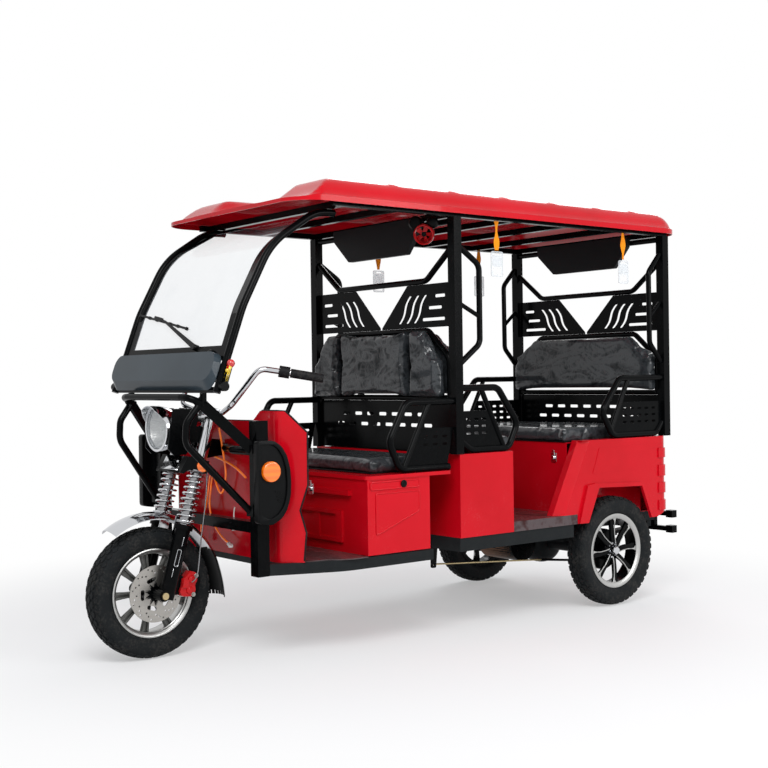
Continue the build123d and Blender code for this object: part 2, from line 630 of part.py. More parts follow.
# Brake caliper over the disc, carried on the left slider's arm.
CALIPER_SLOT = DISC_THICK + 6
disc_mid = DISC_Y + DISC_THICK / 2
caliper_turn = Rot(0, -degrees(CALIPER_TURN), 0)
caliper = Pos(caliper_x, 76, caliper_z) * caliper_turn * Box(74, 38, 88)
bridge_x = FRONT_AXLE_X + 98 * cos(CALIPER_TURN)
bridge_z = TYRE_RADIUS + 98 * sin(CALIPER_TURN)
caliper = caliper + Pos(bridge_x, 52, bridge_z) * caliper_turn * Box(34, 20, 62)
for turn in (-1, 1):
    boss_x = caliper_x + 24 * turn * sin(CALIPER_TURN)
    boss_z = caliper_z - 24 * turn * cos(CALIPER_TURN)
    caliper = caliper + axle_disc(boss_x, 94, 100, boss_z, 15)
slot = axle_disc(FRONT_AXLE_X, disc_mid - CALIPER_SLOT / 2, disc_mid + CALIPER_SLOT / 2,
                 TYRE_RADIUS, DISC_RADIUS + 5)
leg_room = up_fork(SLIDER_RADIUS + SEAT_GAP, -60, 300, y=FORK_Y)
caliper = caliper - slot - leg_room - arm_room
node("brake_caliper", caliper.solids().sort_by(SortBy.VOLUME)[-1])

# ---------------------------------------------------------------- front guard
PILLAR = 28
PILLAR_Y = 398
CLAMP_BAR_Z = 989               # underside of the bar that joins the pillars' feet
GUARD = 26
guard_top = [(1066, 284, 946), (1124, 256, 971), (1130, 212, 974)]
guard_bar = guard_top + [(x, -y, z) for x, y, z in reversed(guard_top)]
guard = round_tube(guard_bar, GUARD, [34, 30, 30, 34])
post_face = FRONT_POST_X + FRONT_POST / 2 + SEAT_GAP
for side in (1, -1):
    strut = square_bar((1098, side * 270, 966), (post_face + 4, side * 366, 782), 14, 40)
    loop = [(1092, side * 268, 940), (1138, side * 262, 880), (1142, side * 262, 806),
            (post_face + 8, side * 356, 556)]
    guard = guard + strut + round_tube(loop, GUARD, [50, 60])
    y0, y1 = sorted((side * 342, side * 386))
    for z in (782, 556):
        guard = guard + block(post_face, post_face + 16, y0, y1, z - 17, z + 17)
    y0, y1 = sorted((side * 272, side * 290))
    guard = guard + block(1069, 1087, y0, y1, 940, CLAMP_BAR_Z - SEAT_GAP)
guard = guard - block(post_face - 60, post_face, -500, 500, 500, 820)
node("front_guard", guard)

# ---------------------------------------------------------------- windshield
PILLAR_TOP = POST_TOP - PILLAR / 2 - SEAT_GAP
PILLAR_LINE = [(1092, POST_TOP - 684), (978, POST_TOP - 374), (855, POST_TOP - 144),
               (655, PILLAR_TOP), (570, PILLAR_TOP)]
PILLAR_BENDS = [420, 300, 180]
pillar_bar = block(1069, 1091, -PILLAR_Y + 8, PILLAR_Y - 8, CLAMP_BAR_Z, CLAMP_BAR_Z + 22)
pillars = pillar_bar
for side in (1, -1):
    points = [(x, side * PILLAR_Y, z) for x, z in PILLAR_LINE]
    pillars = pillars + round_tube(points, PILLAR, PILLAR_BENDS)
node("windshield_pillars", pillars)

# The glass is one bent sheet that follows the pillars from the lower panel to the canopy.
GLASS = 4
GLASS_HALF = PILLAR_Y - PILLAR / 2 - SEAT_GAP
GLASS_LINE = [(1050, POST_TOP - 570), (978, POST_TOP - 374), (855, POST_TOP - 144),
              (640, PILLAR_TOP - 14)]
glass = bent_sheet(GLASS_LINE, [420, 300], GLASS, -GLASS_HALF, GLASS_HALF)
node("windshield_glass", glass)

# The dark tray under the glass, between the feet of the pillars.
tilt = atan2(978 - 1092, 310)
tray_plane = Plane(origin=(978 + 228 * 0.368, 0, POST_TOP - 602), x_dir=(0, 1, 0),
                   z_dir=(cos(tilt), 0, -sin(tilt)))
tray_back = PILLAR / 2 + SEAT_GAP


def tray_form(inset):
    """The tray's outer form, smaller by the inset on each face."""
    back = tray_plane.offset(tray_back - inset / 10) * Pos(0, -14) * RectangleRounded(
        784 - 2 * inset, 138 - 2 * inset, 44 - inset)
    front = tray_plane.offset(42 - inset) * RectangleRounded(
        776 - 2 * inset, 108 - 2 * inset, 44 - inset)
    return loft([back, front])


tray = tray_form(0) - tray_form(SKIN)
for side in (1, -1):
    y0, y1 = sorted((side * 372, side * (PILLAR_Y - PILLAR / 2 - SEAT_GAP)))
    tab = tray_plane * Pos(0, (y0 + y1) / 2, 0)
    plate = Pos((y0 + y1) / 2, -10, 8) * Box(abs(y1 - y0), 60, 28)
    hook = Pos(side * 381, -10, 18.5) * Box(18, 60, 7)
    tray = tray + tray_plane.location * (plate + hook)
node("windshield_apron", tray)

# Marker lamps on the outer sides of the pillars.
marker_lamps = []
for side in (1, -1):
    y = side * (PILLAR_Y + PILLAR / 2 + SEAT_GAP)
    y0, y1 = sorted((y, y + side * 20))
    base = axle_disc(1076, y0, y1, 1012, 17)
    y_mid = (y0 + y1) / 2
    stalk = square_bar((1074, y_mid, 1012), (1050, y_mid, 1084), 16, 14)
    lamp = Pos(1046, y_mid, 1093) * Sphere(14.5)
    bead = Pos(1061, y_mid, 1068) * Sphere(7.5)
    piece = base + stalk + lamp + bead
    marker_lamps.append(piece - block(900, 1200, *sorted((y, side * 300)), 900, 1200))
node("marker_lamps", marker_lamps)

# ---------------------------------------------------------------- leg shield
SHIELD_FRONT = 826
SHIELD_TOP = 918
SHIELD_DIP_Z = 878
SHIELD_DIP_HALF = 215
SHIELD_BOTTOM = LOW_RAIL_TOP + SEAT_GAP
shield_plan = FilletPolyline((735, 452), (SHIELD_FRONT, 372), (SHIELD_FRONT, -372),
                             (735, -452), radius=40)
shield_wall = make_face(offset(shield_plan, SKIN, side=Side.LEFT, closed=True))
shield = Pos(0, 0, SHIELD_BOTTOM) * extrude(shield_wall, SHIELD_TOP - SHIELD_BOTTOM)
shield_side = [(880, SHIELD_BOTTOM - 5), (754, SHIELD_BOTTOM - 5), (747, 470), (764, 552),
               (741, 645), (741, 838), (800, SHIELD_TOP - 2), (880, SHIELD_TOP + 2)]
shield = shield & side_plate(shield_side, -500, 500)
# The top edge dips in the middle, under the handlebar's risers.
dip = [(-SHIELD_DIP_HALF - 60, SHIELD_TOP + 5), (-SHIELD_DIP_HALF, SHIELD_DIP_Z),
       (SHIELD_DIP_HALF, SHIELD_DIP_Z), (SHIELD_DIP_HALF + 60, SHIELD_TOP + 5)]
shield = shield - front_plate(dip, SHIELD_FRONT - 60, SHIELD_FRONT + 10)
node("leg_shield", shield)

covers = []
cover_gap = 36                  # a spacer stands between each post and its cover
cover_y = FRONT_POST_Y + FRONT_POST / 2 + SEAT_GAP
cover_outline = [(960, 520), (960, 815), (884, 815), (819, 719), (828, 582), (900, 508)]
recess_outline = [(948, 560), (948, 800), (892, 796), (838, 714), (846, 600), (905, 548)]
recess_depth = 7


def cover_face(outline, radii):
    """A closed XZ outline with its own rounding at each corner."""
    face = make_face(Polyline(outline, close=True))
    for corner, radius in zip(outline, radii):
        vertex = face.vertices().sort_by_distance(Vector(*corner, 0))[0]
        face = fillet(vertex, radius)
    return face


for side in (1, -1):
    plane = Plane(origin=(0, side * (cover_y + cover_gap), 0), x_dir=(1, 0, 0),
                  z_dir=(0, -side, 0))
    if side < 0:
        plane = Plane(origin=(0, -(cover_y + cover_gap), 0), x_dir=(-1, 0, 0), z_dir=(0, -1, 0))
    shell_face = cover_face(cover_outline, (16, 14, 40, 70, 70, 30))
    recess_face = cover_face(recess_outline, (10, 10, 30, 50, 50, 30))
    outward = Plane(origin=plane.origin, x_dir=(1, 0, 0), z_dir=(0, -1, 0))
    push = -1 if side > 0 else 1
    shell = extrude(outward * shell_face, push * 32)
    outer_edges = shell.faces().sort_by(Axis.Y)[-1 if side > 0 else 0].edges()
    shell = fillet(outer_edges, 9)
    front = outward.offset(push * (32 - recess_depth))
    shell = shell - extrude(front * recess_face, push * 20)
    for index in range(3):
        slit = front * (Pos(862 + 5 * index, 596 + 16 * index) * Rot(0, 0, 14)
                        * SlotOverall(30, 5))
        shell = shell - extrude(slit, -push * 4)
    y0, y1 = sorted((side * cover_y, side * (cover_y + cover_gap + 1)))
    covers.append(shell + block(885, 920, y0, y1, 640, 760))
node("side_covers", covers)
side_lamps = []
for side in (1, -1):
    seat = cover_y + cover_gap + 32 - recess_depth + SEAT_GAP
    plane = Plane(origin=(907, side * seat, 704), x_dir=(1, 0, 0), z_dir=(0, side, 0))
    lamp = extrude(plane * Circle(37), 17)
    side_lamps.append(fillet(lamp.edges().sort_by(Axis.Y)[-1 if side > 0 else 0], 6))
node("side_lamps", side_lamps)

# ---------------------------------------------------------------- floors
FOOTBOARD_Z = LOW_RAIL_TOP + SEAT_GAP
foot_half = [(428, 452), (508, 452), (508, 503), (574, 503), (622, 486), (660, 452), (735, 440),
             (846, 352)]
foot_outline = Polyline(foot_half + [(x, -y) for x, y in reversed(foot_half)], close=True)
footboard = Pos(0, 0, FOOTBOARD_Z) * extrude(make_face(foot_outline), 4)
shield_foot = Pos(0, 0, FOOTBOARD_Z - 1) * extrude(
    make_face(offset(shield_plan, SKIN + 1, side=Side.LEFT, closed=True)), 8)
footboard = footboard - shield_foot
footboard = footboard.solids().sort_by(SortBy.VOLUME)[-1]

cabin_floor = block(BENCH_FRONT + SEAT_GAP, MIDDLE_BOX_REAR - SEAT_GAP, -BODY_HALF, BODY_HALF,
                    RAIL_TOP + SEAT_GAP, FLOOR_Z)
hollow = block(BENCH_FRONT + 5, MIDDLE_BOX_REAR - 5, -BODY_HALF + SKIN, BODY_HALF - SKIN,
               RAIL_TOP - 5, FLOOR_Z - SKIN)
node("floor_panels", footboard, cabin_floor - hollow)

# ---------------------------------------------------------------- driver's seat box and deck
def open_box(x0, x1, half, z0, z1, wall):
    """Four upright walls with a floor."""
    outer = block(x0, x1, -half, half, z0, z1)
    inner = block(x0 + wall, x1 - wall, wall - half, half - wall, z0 + wall, z1 + 5)
    return outer - inner


deck_z = DRIVER_DECK_Z
DECK_DROP = 18
driver_box = open_box(DRIVER_BOX_REAR, DRIVER_BOX_FRONT, BODY_HALF,
                      LOW_RAIL_TOP + 4 + 2 * SEAT_GAP, deck_z - SEAT_GAP, SHEET)

SEAT_HALF = 425
LID_REAR = 92
LID_FRONT = 432
deck = block(DRIVER_DECK_REAR, DRIVER_BOX_FRONT + 6, -BODY_HALF - 6, BODY_HALF + 6,
             deck_z, deck_z + 14)
deck = fillet(deck.edges().filter_by(Axis.Z), 22)
deck_hole = block(LID_REAR + 40, LID_FRONT - 30, -SEAT_HALF + 40, SEAT_HALF - 40,
                  deck_z - 5, deck_z + 20)
ledge = block(DRIVER_BOX_FRONT - 1, DRIVER_BOX_FRONT + 16, -150, 395, 586, 606)
frame_room = block(DRIVER_BOX_FRONT - 5, DRIVER_BOX_FRONT + 20, -300, 300, 416, 510)
frame = block(DRIVER_BOX_FRONT - 1, DRIVER_BOX_FRONT + 9, -340, 340, 402, 524) - frame_room
frame = frame + block(DRIVER_BOX_FRONT - 1, DRIVER_BOX_FRONT + 5, 150, 186, 402, 524)
driver_box = driver_box + ledge + frame
side_raise = [(462, 440), (462, 596), (250, 596), (250, 520)]
side_band = [(488, 612), (488, 640), (250, 640), (250, 612)]
for side in (1, -1):
    for outline in (side_raise, side_band):
        driver_box = driver_box + side_plate(outline, side * (BODY_HALF - 1),
                                             side * (BODY_HALF + 2), 5)
    socket = axle_disc(330, side * BODY_HALF, side * (BODY_HALF + 5), 627, 15)
    driver_box = driver_box + socket


def lift_hinge(x, z, y_mid, deck_top, leaf_end):
    """Knuckle on a lid's board, and the pin with its two ears on the deck below."""
    knuckle = axle_disc(x, y_mid - 20, y_mid + 20, z, 6)
    knuckle = knuckle + block(x, leaf_end, y_mid - 20, y_mid + 20, z - 6.7, z - 0.7)
    knuckle = knuckle - axle_disc(x, y_mid - 30, y_mid + 30, z, 3 + FIT)
    pin_piece = axle_disc(x, y_mid - 32, y_mid + 32, z, 3)
    for ear_mid in (y_mid - 27, y_mid + 27):
        pin_piece = pin_piece + axle_disc(x, ear_mid - 6, ear_mid + 6, z, 5)
        pin_piece = pin_piece + block(x - 5, x + 5, ear_mid - 6, ear_mid + 6, deck_top - 1, z)
    return knuckle, pin_piece


DRIVER_PIVOT_X = LID_REAR - 8
driver_pivot_z = deck_z + 14 + 7
driver_deck = deck - deck_hole
driver_knuckles = []
for side in (1, -1):
    knuckle, pin_piece = lift_hinge(DRIVER_PIVOT_X, driver_pivot_z, side * 220, deck_z + 14,
                                    LID_REAR + 1)
    driver_knuckles.append(knuckle)
    driver_deck = driver_deck + pin_piece
node("driver_seat_box", driver_box, driver_deck)

lid_z = deck_z + 14 + SEAT_GAP
board = block(LID_REAR, LID_FRONT, -SEAT_HALF, SEAT_HALF, lid_z, lid_z + 6)
for knuckle in driver_knuckles:
    board = board + knuckle
cushion = block(LID_REAR + 3, LID_FRONT + 4, -SEAT_HALF, SEAT_HALF, lid_z + 6 + SEAT_GAP, lid_z + 54)
node("driver_cushion", board, fillet(cushion.edges().filter_by(Axis.Z), 40))

battery_z = LOW_RAIL_TOP + 4 + SHEET + 3 * SEAT_GAP
battery = block(230, 470, -330, 330, battery_z, battery_z + 230)
node("battery_block", battery)

# ---------------------------------------------------------------- middle bench
middle_box = block(MIDDLE_BOX_REAR, MIDDLE_BOX_FRONT, -BODY_HALF, BODY_HALF,
                   RAIL_TOP + SEAT_GAP, MIDDLE_BOX_TOP)
middle_room = block(MIDDLE_BOX_REAR + SHEET, MIDDLE_BOX_FRONT - SHEET, -BODY_HALF + SHEET,
                    BODY_HALF - SHEET, RAIL_TOP - 5, MIDDLE_BOX_TOP - SHEET)
node("middle_seat_box", middle_box - middle_room)
middle_cushion = block(-305, 8, -SEAT_HALF, SEAT_HALF, MIDDLE_BOX_TOP + SEAT_GAP,
                       MIDDLE_BOX_TOP + 58)
middle_cushion = fillet(middle_cushion.edges().filter_by(Axis.Z), 40)

# ---------------------------------------------------------------- rear body
front_low, front_high = -565, -728
side_line = [(front_low, FLOOR_Z), (front_high, BODY_TOP), (BODY_REAR, BODY_TOP),
             (BODY_REAR, 410), (-1180, 378), (-1128, 378), (-1062, 528), (-775, 538),
             (-704, RAIL_TOP + SEAT_GAP), (BENCH_FRONT - 2, RAIL_TOP + SEAT_GAP),
             (BENCH_FRONT - 2, FLOOR_Z + SEAT_GAP), (front_low, FLOOR_Z + SEAT_GAP)]
side_line[0] = (front_low, FLOOR_Z + SEAT_GAP)
side_line = side_line[:-1]
CORNER = 50
CORNER_END = 432
corner_path = FilletPolyline((-500, BODY_HALF), (BODY_REAR, BODY_HALF), (BODY_REAR, CORNER_END),
                             radius=CORNER)
wall_plan = make_face(offset(corner_path, SKIN, side=Side.RIGHT, closed=True))
rib_plan = make_face(offset(corner_path, 6, side=Side.LEFT, closed=True))
if rib_plan.bounding_box().max.Y < BODY_HALF + 1:
    wall_plan, rib_plan = (make_face(offset(corner_path, SKIN, side=Side.LEFT, closed=True)),
                           make_face(offset(corner_path, 6, side=Side.RIGHT, closed=True)))
rib_plan = rib_plan & (Pos(-1246, 450) * Rectangle(116, 120))
region = make_face(Polyline((-500, 400), (-500, BODY_HALF), (BODY_REAR, BODY_HALF),
                            (BODY_REAR, 400), close=True))
region = fillet(region.vertices().sort_by_distance(Vector(BODY_REAR, BODY_HALF, 0))[0], CORNER)
RIB_BANDS = ((649, 693), (564, 615), (486, 534), (407, 453))
flare_outer = [(BENCH_FRONT - 3, 390), (-702, 552), (-752, 559), (-1054, 547), (-1084, 527),
               (-1143, 380)]
arch_room = [(-704, 360), (-704, 388), (-775, 538), (-1062, 528), (-1128, 378), (-1128, 360)]
emboss = [(-788, 712), (-1186, 716), (-1186, 702), (-1096, 690), (-1062, 664), (-1026, 606),
          (-744, 600)]
side_panels = []
for side in (1, -1):
    wall = Pos(0, 0, 370) * extrude(wall_plan, BODY_TOP - 370)
    panel = wall & side_plate(side_line, 380, 520)
    for low, high in RIB_BANDS:
        panel = panel + Pos(0, 0, low) * extrude(rib_plan, high - low)
    flare = side_plate(flare_outer, BODY_HALF - 1, BODY_HALF + 12)
    panel = panel + (flare - side_plate(arch_room, BODY_HALF - 20, BODY_HALF + 20))
    panel = panel + side_plate(emboss, BODY_HALF - 1, BODY_HALF + 2, 4)
    jamb = Polyline((front_low, BODY_HALF), (front_low + 48, BODY_HALF - 28),
                    (front_low + 48, BODY_HALF - 60), (front_low + 45, BODY_HALF - 60),
                    (front_low + 45, BODY_HALF - 30), (front_low - 3, BODY_HALF - SKIN),
                    close=True)
    low = Plane.XY.offset(FLOOR_Z + SEAT_GAP) * make_face(jamb)
    high = Pos(front_high - front_low, 0, BODY_TOP - FLOOR_Z - SEAT_GAP) * low
    pillar = loft([low, high])
    top = block(BODY_REAR, front_high + 48, BODY_HALF - 62, BODY_HALF - 1,
                BODY_TOP - SKIN, BODY_TOP)
    top = top & (Pos(0, 0, 700) * extrude(region, 100))
    piece = panel + pillar + top
    side_panels.append(piece if side > 0 else mirror(piece, about=Plane.XZ))

inside = BODY_HALF - SKIN - SEAT_GAP
tail_half = CORNER_END - SEAT_GAP
tail = block(BODY_REAR, BODY_REAR + SKIN, -tail_half, tail_half, RAIL_TOP + SEAT_GAP,
             BODY_TOP - SKIN - SEAT_GAP)
node("rear_body", side_panels, tail)

deck_half = BODY_HALF - 62 - SEAT_GAP
bench_wall = block(BENCH_FRONT - SKIN, BENCH_FRONT, -inside, inside, RAIL_TOP + SEAT_GAP,
                   BODY_TOP - 12)
bench_wall = bench_wall - block(-700, -600, deck_half, 500, FLOOR_Z, 800)
bench_wall = bench_wall - block(-700, -600, -500, -deck_half, FLOOR_Z, 800)
bench_deck = block(BODY_REAR + SKIN + SEAT_GAP, BENCH_FRONT, -deck_half, deck_half,
                   BODY_TOP - 12, BODY_TOP - 12 + SKIN)
REAR_LID_FRONT = BENCH_FRONT + 4
REAR_LID_REAR = -1196
bench_hole = block(REAR_LID_REAR + 40, REAR_LID_FRONT - 34, -SEAT_HALF + 40, SEAT_HALF - 40,
                   BODY_TOP - 30, BODY_TOP)
house_y = 372
HOUSE_REAR = -1206
houses = []
for side in (1, -1):
    top = block(HOUSE_REAR, BENCH_FRONT - 4, house_y, inside, 552, 552 + SKIN)
    wall = block(HOUSE_REAR, BENCH_FRONT - 4, house_y, house_y + SKIN,
                 RAIL_TOP + SEAT_GAP, 552)
    house = top + wall
    houses.append(house if side > 0 else mirror(house, about=Plane.XZ))
bench_floor = block(BODY_REAR + 4, BENCH_FRONT - 4, -house_y + SEAT_GAP, house_y - SEAT_GAP,
                    RAIL_TOP + SEAT_GAP, RAIL_TOP + SEAT_GAP + SKIN)
bench_top = bench_deck - bench_hole
rear_pivot_z = BODY_TOP - 12 + SKIN + 7
rear_knuckles = []
for side in (1, -1):
    knuckle, pin_piece = lift_hinge(REAR_LID_REAR - 8, rear_pivot_z, side * 220,
                                    BODY_TOP - 12 + SKIN, REAR_LID_REAR + 1)
    rear_knuckles.append(knuckle)
    bench_top = bench_top + pin_piece
bench_wall = bench_wall - block(-700, -600, -500, 500, BODY_TOP - 12 - SEAT_GAP, 800)
node("rear_bench_box", bench_wall, bench_top, houses, bench_floor)

rear_lid_z = BODY_TOP - 12 + SKIN + SEAT_GAP
rear_board = block(REAR_LID_REAR, REAR_LID_FRONT, -SEAT_HALF, SEAT_HALF, rear_lid_z,
                   rear_lid_z + 6)
for knuckle in rear_knuckles:
    rear_board = rear_board + knuckle
rear_cushion = block(REAR_LID_REAR + 3, REAR_LID_FRONT + 4, -SEAT_HALF, SEAT_HALF,
                     rear_lid_z + 6 + SEAT_GAP, rear_lid_z + 56)
node("rear_cushion", rear_board, fillet(rear_cushion.edges().filter_by(Axis.Z), 40))

# ---------------------------------------------------------------- seat-back frames
PANEL_TUBE = 25
BACK_TOP = 1226
VEE_BAR_Z = 1430
POST_FEET = (MIDDLE_BOX_TOP + SEAT_GAP, BODY_TOP + SEAT_GAP)


def slot_row(z, count, pitch, length, height):
    """A row of round-ended slots in the YZ drawing plane."""
    start = -pitch * (count - 1) / 2
    return [Pos(start + pitch * index, z) * SlotOverall(length, height)
            for index in range(count)]


def zigzag(y, z, scale):
    """A slim lightning-shaped cut-out."""
    points = [(-8, 0), (-34, 42), (-24, 46), (-48, 90), (-36, 90), (-10, 48), (-20, 44), (4, 0)]
    return Pos(y, z) * make_face(Polyline([(py * scale, pz * scale) for py, pz in points],
                                          close=True))


def seat_back_frame(x, foot_z, bars):
    """Posts, hoop and bars of one seat row, welded into one frame."""
    half = POST_SIZE / 2
    frame = None
    for side in (1, -1):
        y0, y1 = sorted((side * (POST_Y - half), side * (POST_Y + half)))
        post = block(x - half, x + half, y0, y1, foot_z, POST_TOP)
        frame = post if frame is None else frame + post
    inner = POST_Y - half + 2
    hoop = [(440, 944), (440, 1112), (310, BACK_TOP)]
    loop = [(x, y, z) for y, z in hoop] + [(x, -y, z) for y, z in reversed(hoop)]
    frame = frame + round_tube(loop, PANEL_TUBE, 40)
    frame = frame + rod((x, -inner, 950), (x, inner, 950), PANEL_TUBE - 1)
    for y in bars:
        frame = frame + rod((x, y, 950), (x, y, BACK_TOP), 18)
    vee = [(inner, 1555), (300, VEE_BAR_Z)]
    bar = [(x, y, z) for y, z in vee] + [(x, -y, z) for y, z in reversed(vee)]
    frame = frame + round_tube(bar, PANEL_TUBE, 60)
    frame = frame + rod((x, -inner, 1660), (x, inner, 1660), PANEL_TUBE)
    return frame


def vee_plates(x):
    """Two slotted plates that frame the V below the upper bar."""
    plates = []
    for side in (1, -1):
        low = BACK_TOP + PANEL_TUBE / 2 + SEAT_GAP
        high = VEE_BAR_Z - PANEL_TUBE / 2 - SEAT_GAP
        outline = [(456, high), (178, high), (6, low + 8), (6, low), (456, low)]
        plate = front_plate([(side * y, z) for y, z in outline], x - 1.5, x + 1.5)
        cuts = []
        for row, near_y in enumerate((357, 319, 273)):
            middle = (413 + near_y) / 2
            cuts.append(Pos(side * middle, 1370 - 40 * row) * SlotOverall(413 - near_y, 13))
        for index in range(3):
            cut = zigzag(232 - 58 * index, 1280, 1)
            cuts.append(cut if side > 0 else mirror(cut, about=Plane.YZ))
        plane = Plane(origin=(x - 5, 0, 0), x_dir=(0, 1, 0), z_dir=(1, 0, 0))
        for cut in cuts:
            plate = plate - extrude(plane * cut, 10)
        plates.append(plate)
    return plates


def slotted_panel(x, low, rows):
    """The perforated plate behind the cushions, from post to post."""
    panel = front_plate([(-456, low), (456, low), (456, 937.7), (-456, 937.7)], x - 1.5, x + 1.5, 18)
    plane = Plane(origin=(x - 5, 0, 0), x_dir=(0, 1, 0), z_dir=(1, 0, 0))
    for z, count in rows:
        for cut in slot_row(z, count, 86, 48, 13):
            panel = panel - extrude(plane * cut, 10)
    return panel


SLOT_ROWS = (((880, 7), (835, 8)), ((880, 7), (832, 8), (790, 7)))
back_frames = []
plates = []
UPRIGHT_BARS = ((-236, 236), ())
for x, foot, rows, bars in zip(SEAT_ROW_X, POST_FEET, SLOT_ROWS, UPRIGHT_BARS):
    back_frames.append(seat_back_frame(x, foot, bars))
    plates.append(slotted_panel(x, foot + 4, rows))
    plates.extend(vee_plates(x))
node("seat_back_frames", back_frames)
node("slotted_plates", plates)


def back_pad(x0, x1, outline, corner):
    """A plain back cushion with rounded corners, from x0 to x1."""
    return front_plate(outline, x0, x1, corner)


tube_half = PANEL_TUBE / 2 + SEAT_GAP
PAD = 48
driver_x, rear_x = SEAT_ROW_X
hip = [(250, 956), (428, 956), (428, 1095), (330, 1220), (250, 1222)]
pads = [back_pad(driver_x + tube_half, driver_x + tube_half + PAD,
                 [(-222, 956), (222, 956), (222, 1225), (-222, 1225)], 12)]
for side in (1, -1):
    pads.append(back_pad(driver_x + tube_half, driver_x + tube_half + PAD,
                         [(side * y, z) for y, z in hip], 12))
node("driver_back_cushions", pads)
full = [(-440, 962), (440, 962), (440, 1125), (296, 1222), (-296, 1222), (-440, 1125)]
middle_back = back_pad(driver_x - tube_half - PAD, driver_x - tube_half, full, 24)
node("middle_cushions", middle_cushion, middle_back)
node("rear_back_cushion", back_pad(rear_x + tube_half, rear_x + tube_half + PAD, full, 24))

# ---------------------------------------------------------------- armrests and grab rails
ARM_TUBE = 28
RAIL_TUBE = 24


def tube_at(points, y, diameter, radius):
    """A tube whose XZ points lie in one upright plane."""
    return round_tube([(x, y, z) for x, z in points], diameter, radius)


def clear_of_posts(shape):
    """Trims a welded tube to the faces of the roof posts."""
    reach = POST_SIZE / 2 + SEAT_GAP
    for x in SEAT_ROW_X:
        shape = shape - block(x - reach, x + reach, -600, 600, 700, 1700)
    return shape


def armrest(loop, bars, panel, y):
    """A bent tube loop with inner bars and a slotted panel welded between."""
    arm = tube_at(loop, y, ARM_TUBE, 45)
    for start, end in bars:
        arm = arm + rod((start[0], y, start[1]), (end[0], y, end[1]), ARM_TUBE - 6)
    outline, slots = panel
    plate = side_plate(outline, y - 1.5, y + 1.5)
    plane = Plane(origin=(0, y + 5, 0), x_dir=(1, 0, 0), z_dir=(0, -1, 0))
    for x, z, length in slots:
        plate = plate - extrude(plane * (Pos(x, z) * SlotOverall(length, 10)), 10)
    return clear_of_posts(arm + plate)


driver_post_front = SEAT_ROW_X[0] + POST_SIZE / 2 + SEAT_GAP
driver_post_rear = SEAT_ROW_X[0] - POST_SIZE / 2 - SEAT_GAP
rear_post_front = SEAT_ROW_X[1] + POST_SIZE / 2 + SEAT_GAP
arm_foot = DRIVER_DECK_Z + 14 + SEAT_GAP + ARM_TUBE / 2
middle_foot = MIDDLE_BOX_TOP + SEAT_GAP + ARM_TUBE / 2
rear_foot = BODY_TOP + SEAT_GAP + ARM_TUBE / 2

front_loop = [(driver_post_front, 938), (296, 938), (382, 786), (330, arm_foot), (80, arm_foot)]
front_bars = [((178, 938), (314, arm_foot))]
front_panel = ([(driver_post_front, 834), (222, 834), (306, 690), (286, arm_foot), (90, arm_foot)],
               [(x, z, 26) for z in (800, 770) for x in (100, 150, 200)])
middle_loop = [(driver_post_rear, 989), (-192, 989), (-304, 839), (-252, middle_foot),
               (-40, middle_foot), (driver_post_rear, 775)]
middle_bars = [((-98, 989), (-226, middle_foot))]
middle_panel = ([(driver_post_rear, 896), (-146, 896), (-212, 770), (-220, middle_foot),
                 (-40, middle_foot), (driver_post_rear, 775)],
                [(x, z, 26) for z in (862, 834, 806) for x in (-30, -72, -114)])
rear_loop = [(rear_post_front, 1019), (-950, 1019), (-826, 872), (-897, rear_foot),
             (-1195, rear_foot), (rear_post_front, 812)]
rear_bars = [((-1008, 1019), (-884, rear_foot + 20))]
rear_panel = ([(rear_post_front, 910), (-955, 910), (-890, 800), (-905, rear_foot),
               (-1195, rear_foot), (rear_post_front, 812)],
              [(x, z, 26) for z in (880, 850, 820) for x in (-1180, -1130, -1080, -1030, -980)])
ARM_DESIGNS = (("driver", (front_loop, front_bars, front_panel)),
               ("middle", (middle_loop, middle_bars, middle_panel)),
               ("rear", (rear_loop, rear_bars, rear_panel)))
for name, design in ARM_DESIGNS:
    node(f"{name}_armrests", [armrest(*design, side * POST_Y) for side in (1, -1)])

middle_grab = [(driver_post_rear, 1560), (-98, 1488), (-98, 1168), (driver_post_rear, 1086)]
middle_brace = ((driver_post_rear, 1330), (-98, 1278))
rear_grab = [(rear_post_front, 1590), (-1158, 1504), (-1160, 1178), (rear_post_front, 1094)]
rear_brace = ((rear_post_front, 1366), (-1159, 1298))
grab_rails = []
for points, brace in ((middle_grab, middle_brace), (rear_grab, rear_brace)):
    for side in (1, -1):
        y = side * POST_Y
        rail = tube_at(points, y, RAIL_TUBE, 45)
        start, end = brace
        rail = rail + rod((start[0], y, start[1]), (end[0], y, end[1]), RAIL_TUBE - 6)
        grab_rails.append(clear_of_posts(rail))
node("grab_rails", grab_rails)

# ---------------------------------------------------------------- canopy
ROOF_REAR = -1365
ROOF_FRONT = 812
ROOF_HALF = 522
LIP_Z = 1684
CROWN_Z = 1795
ROOF_SKIN = 4
ROOF_TUBE = 25


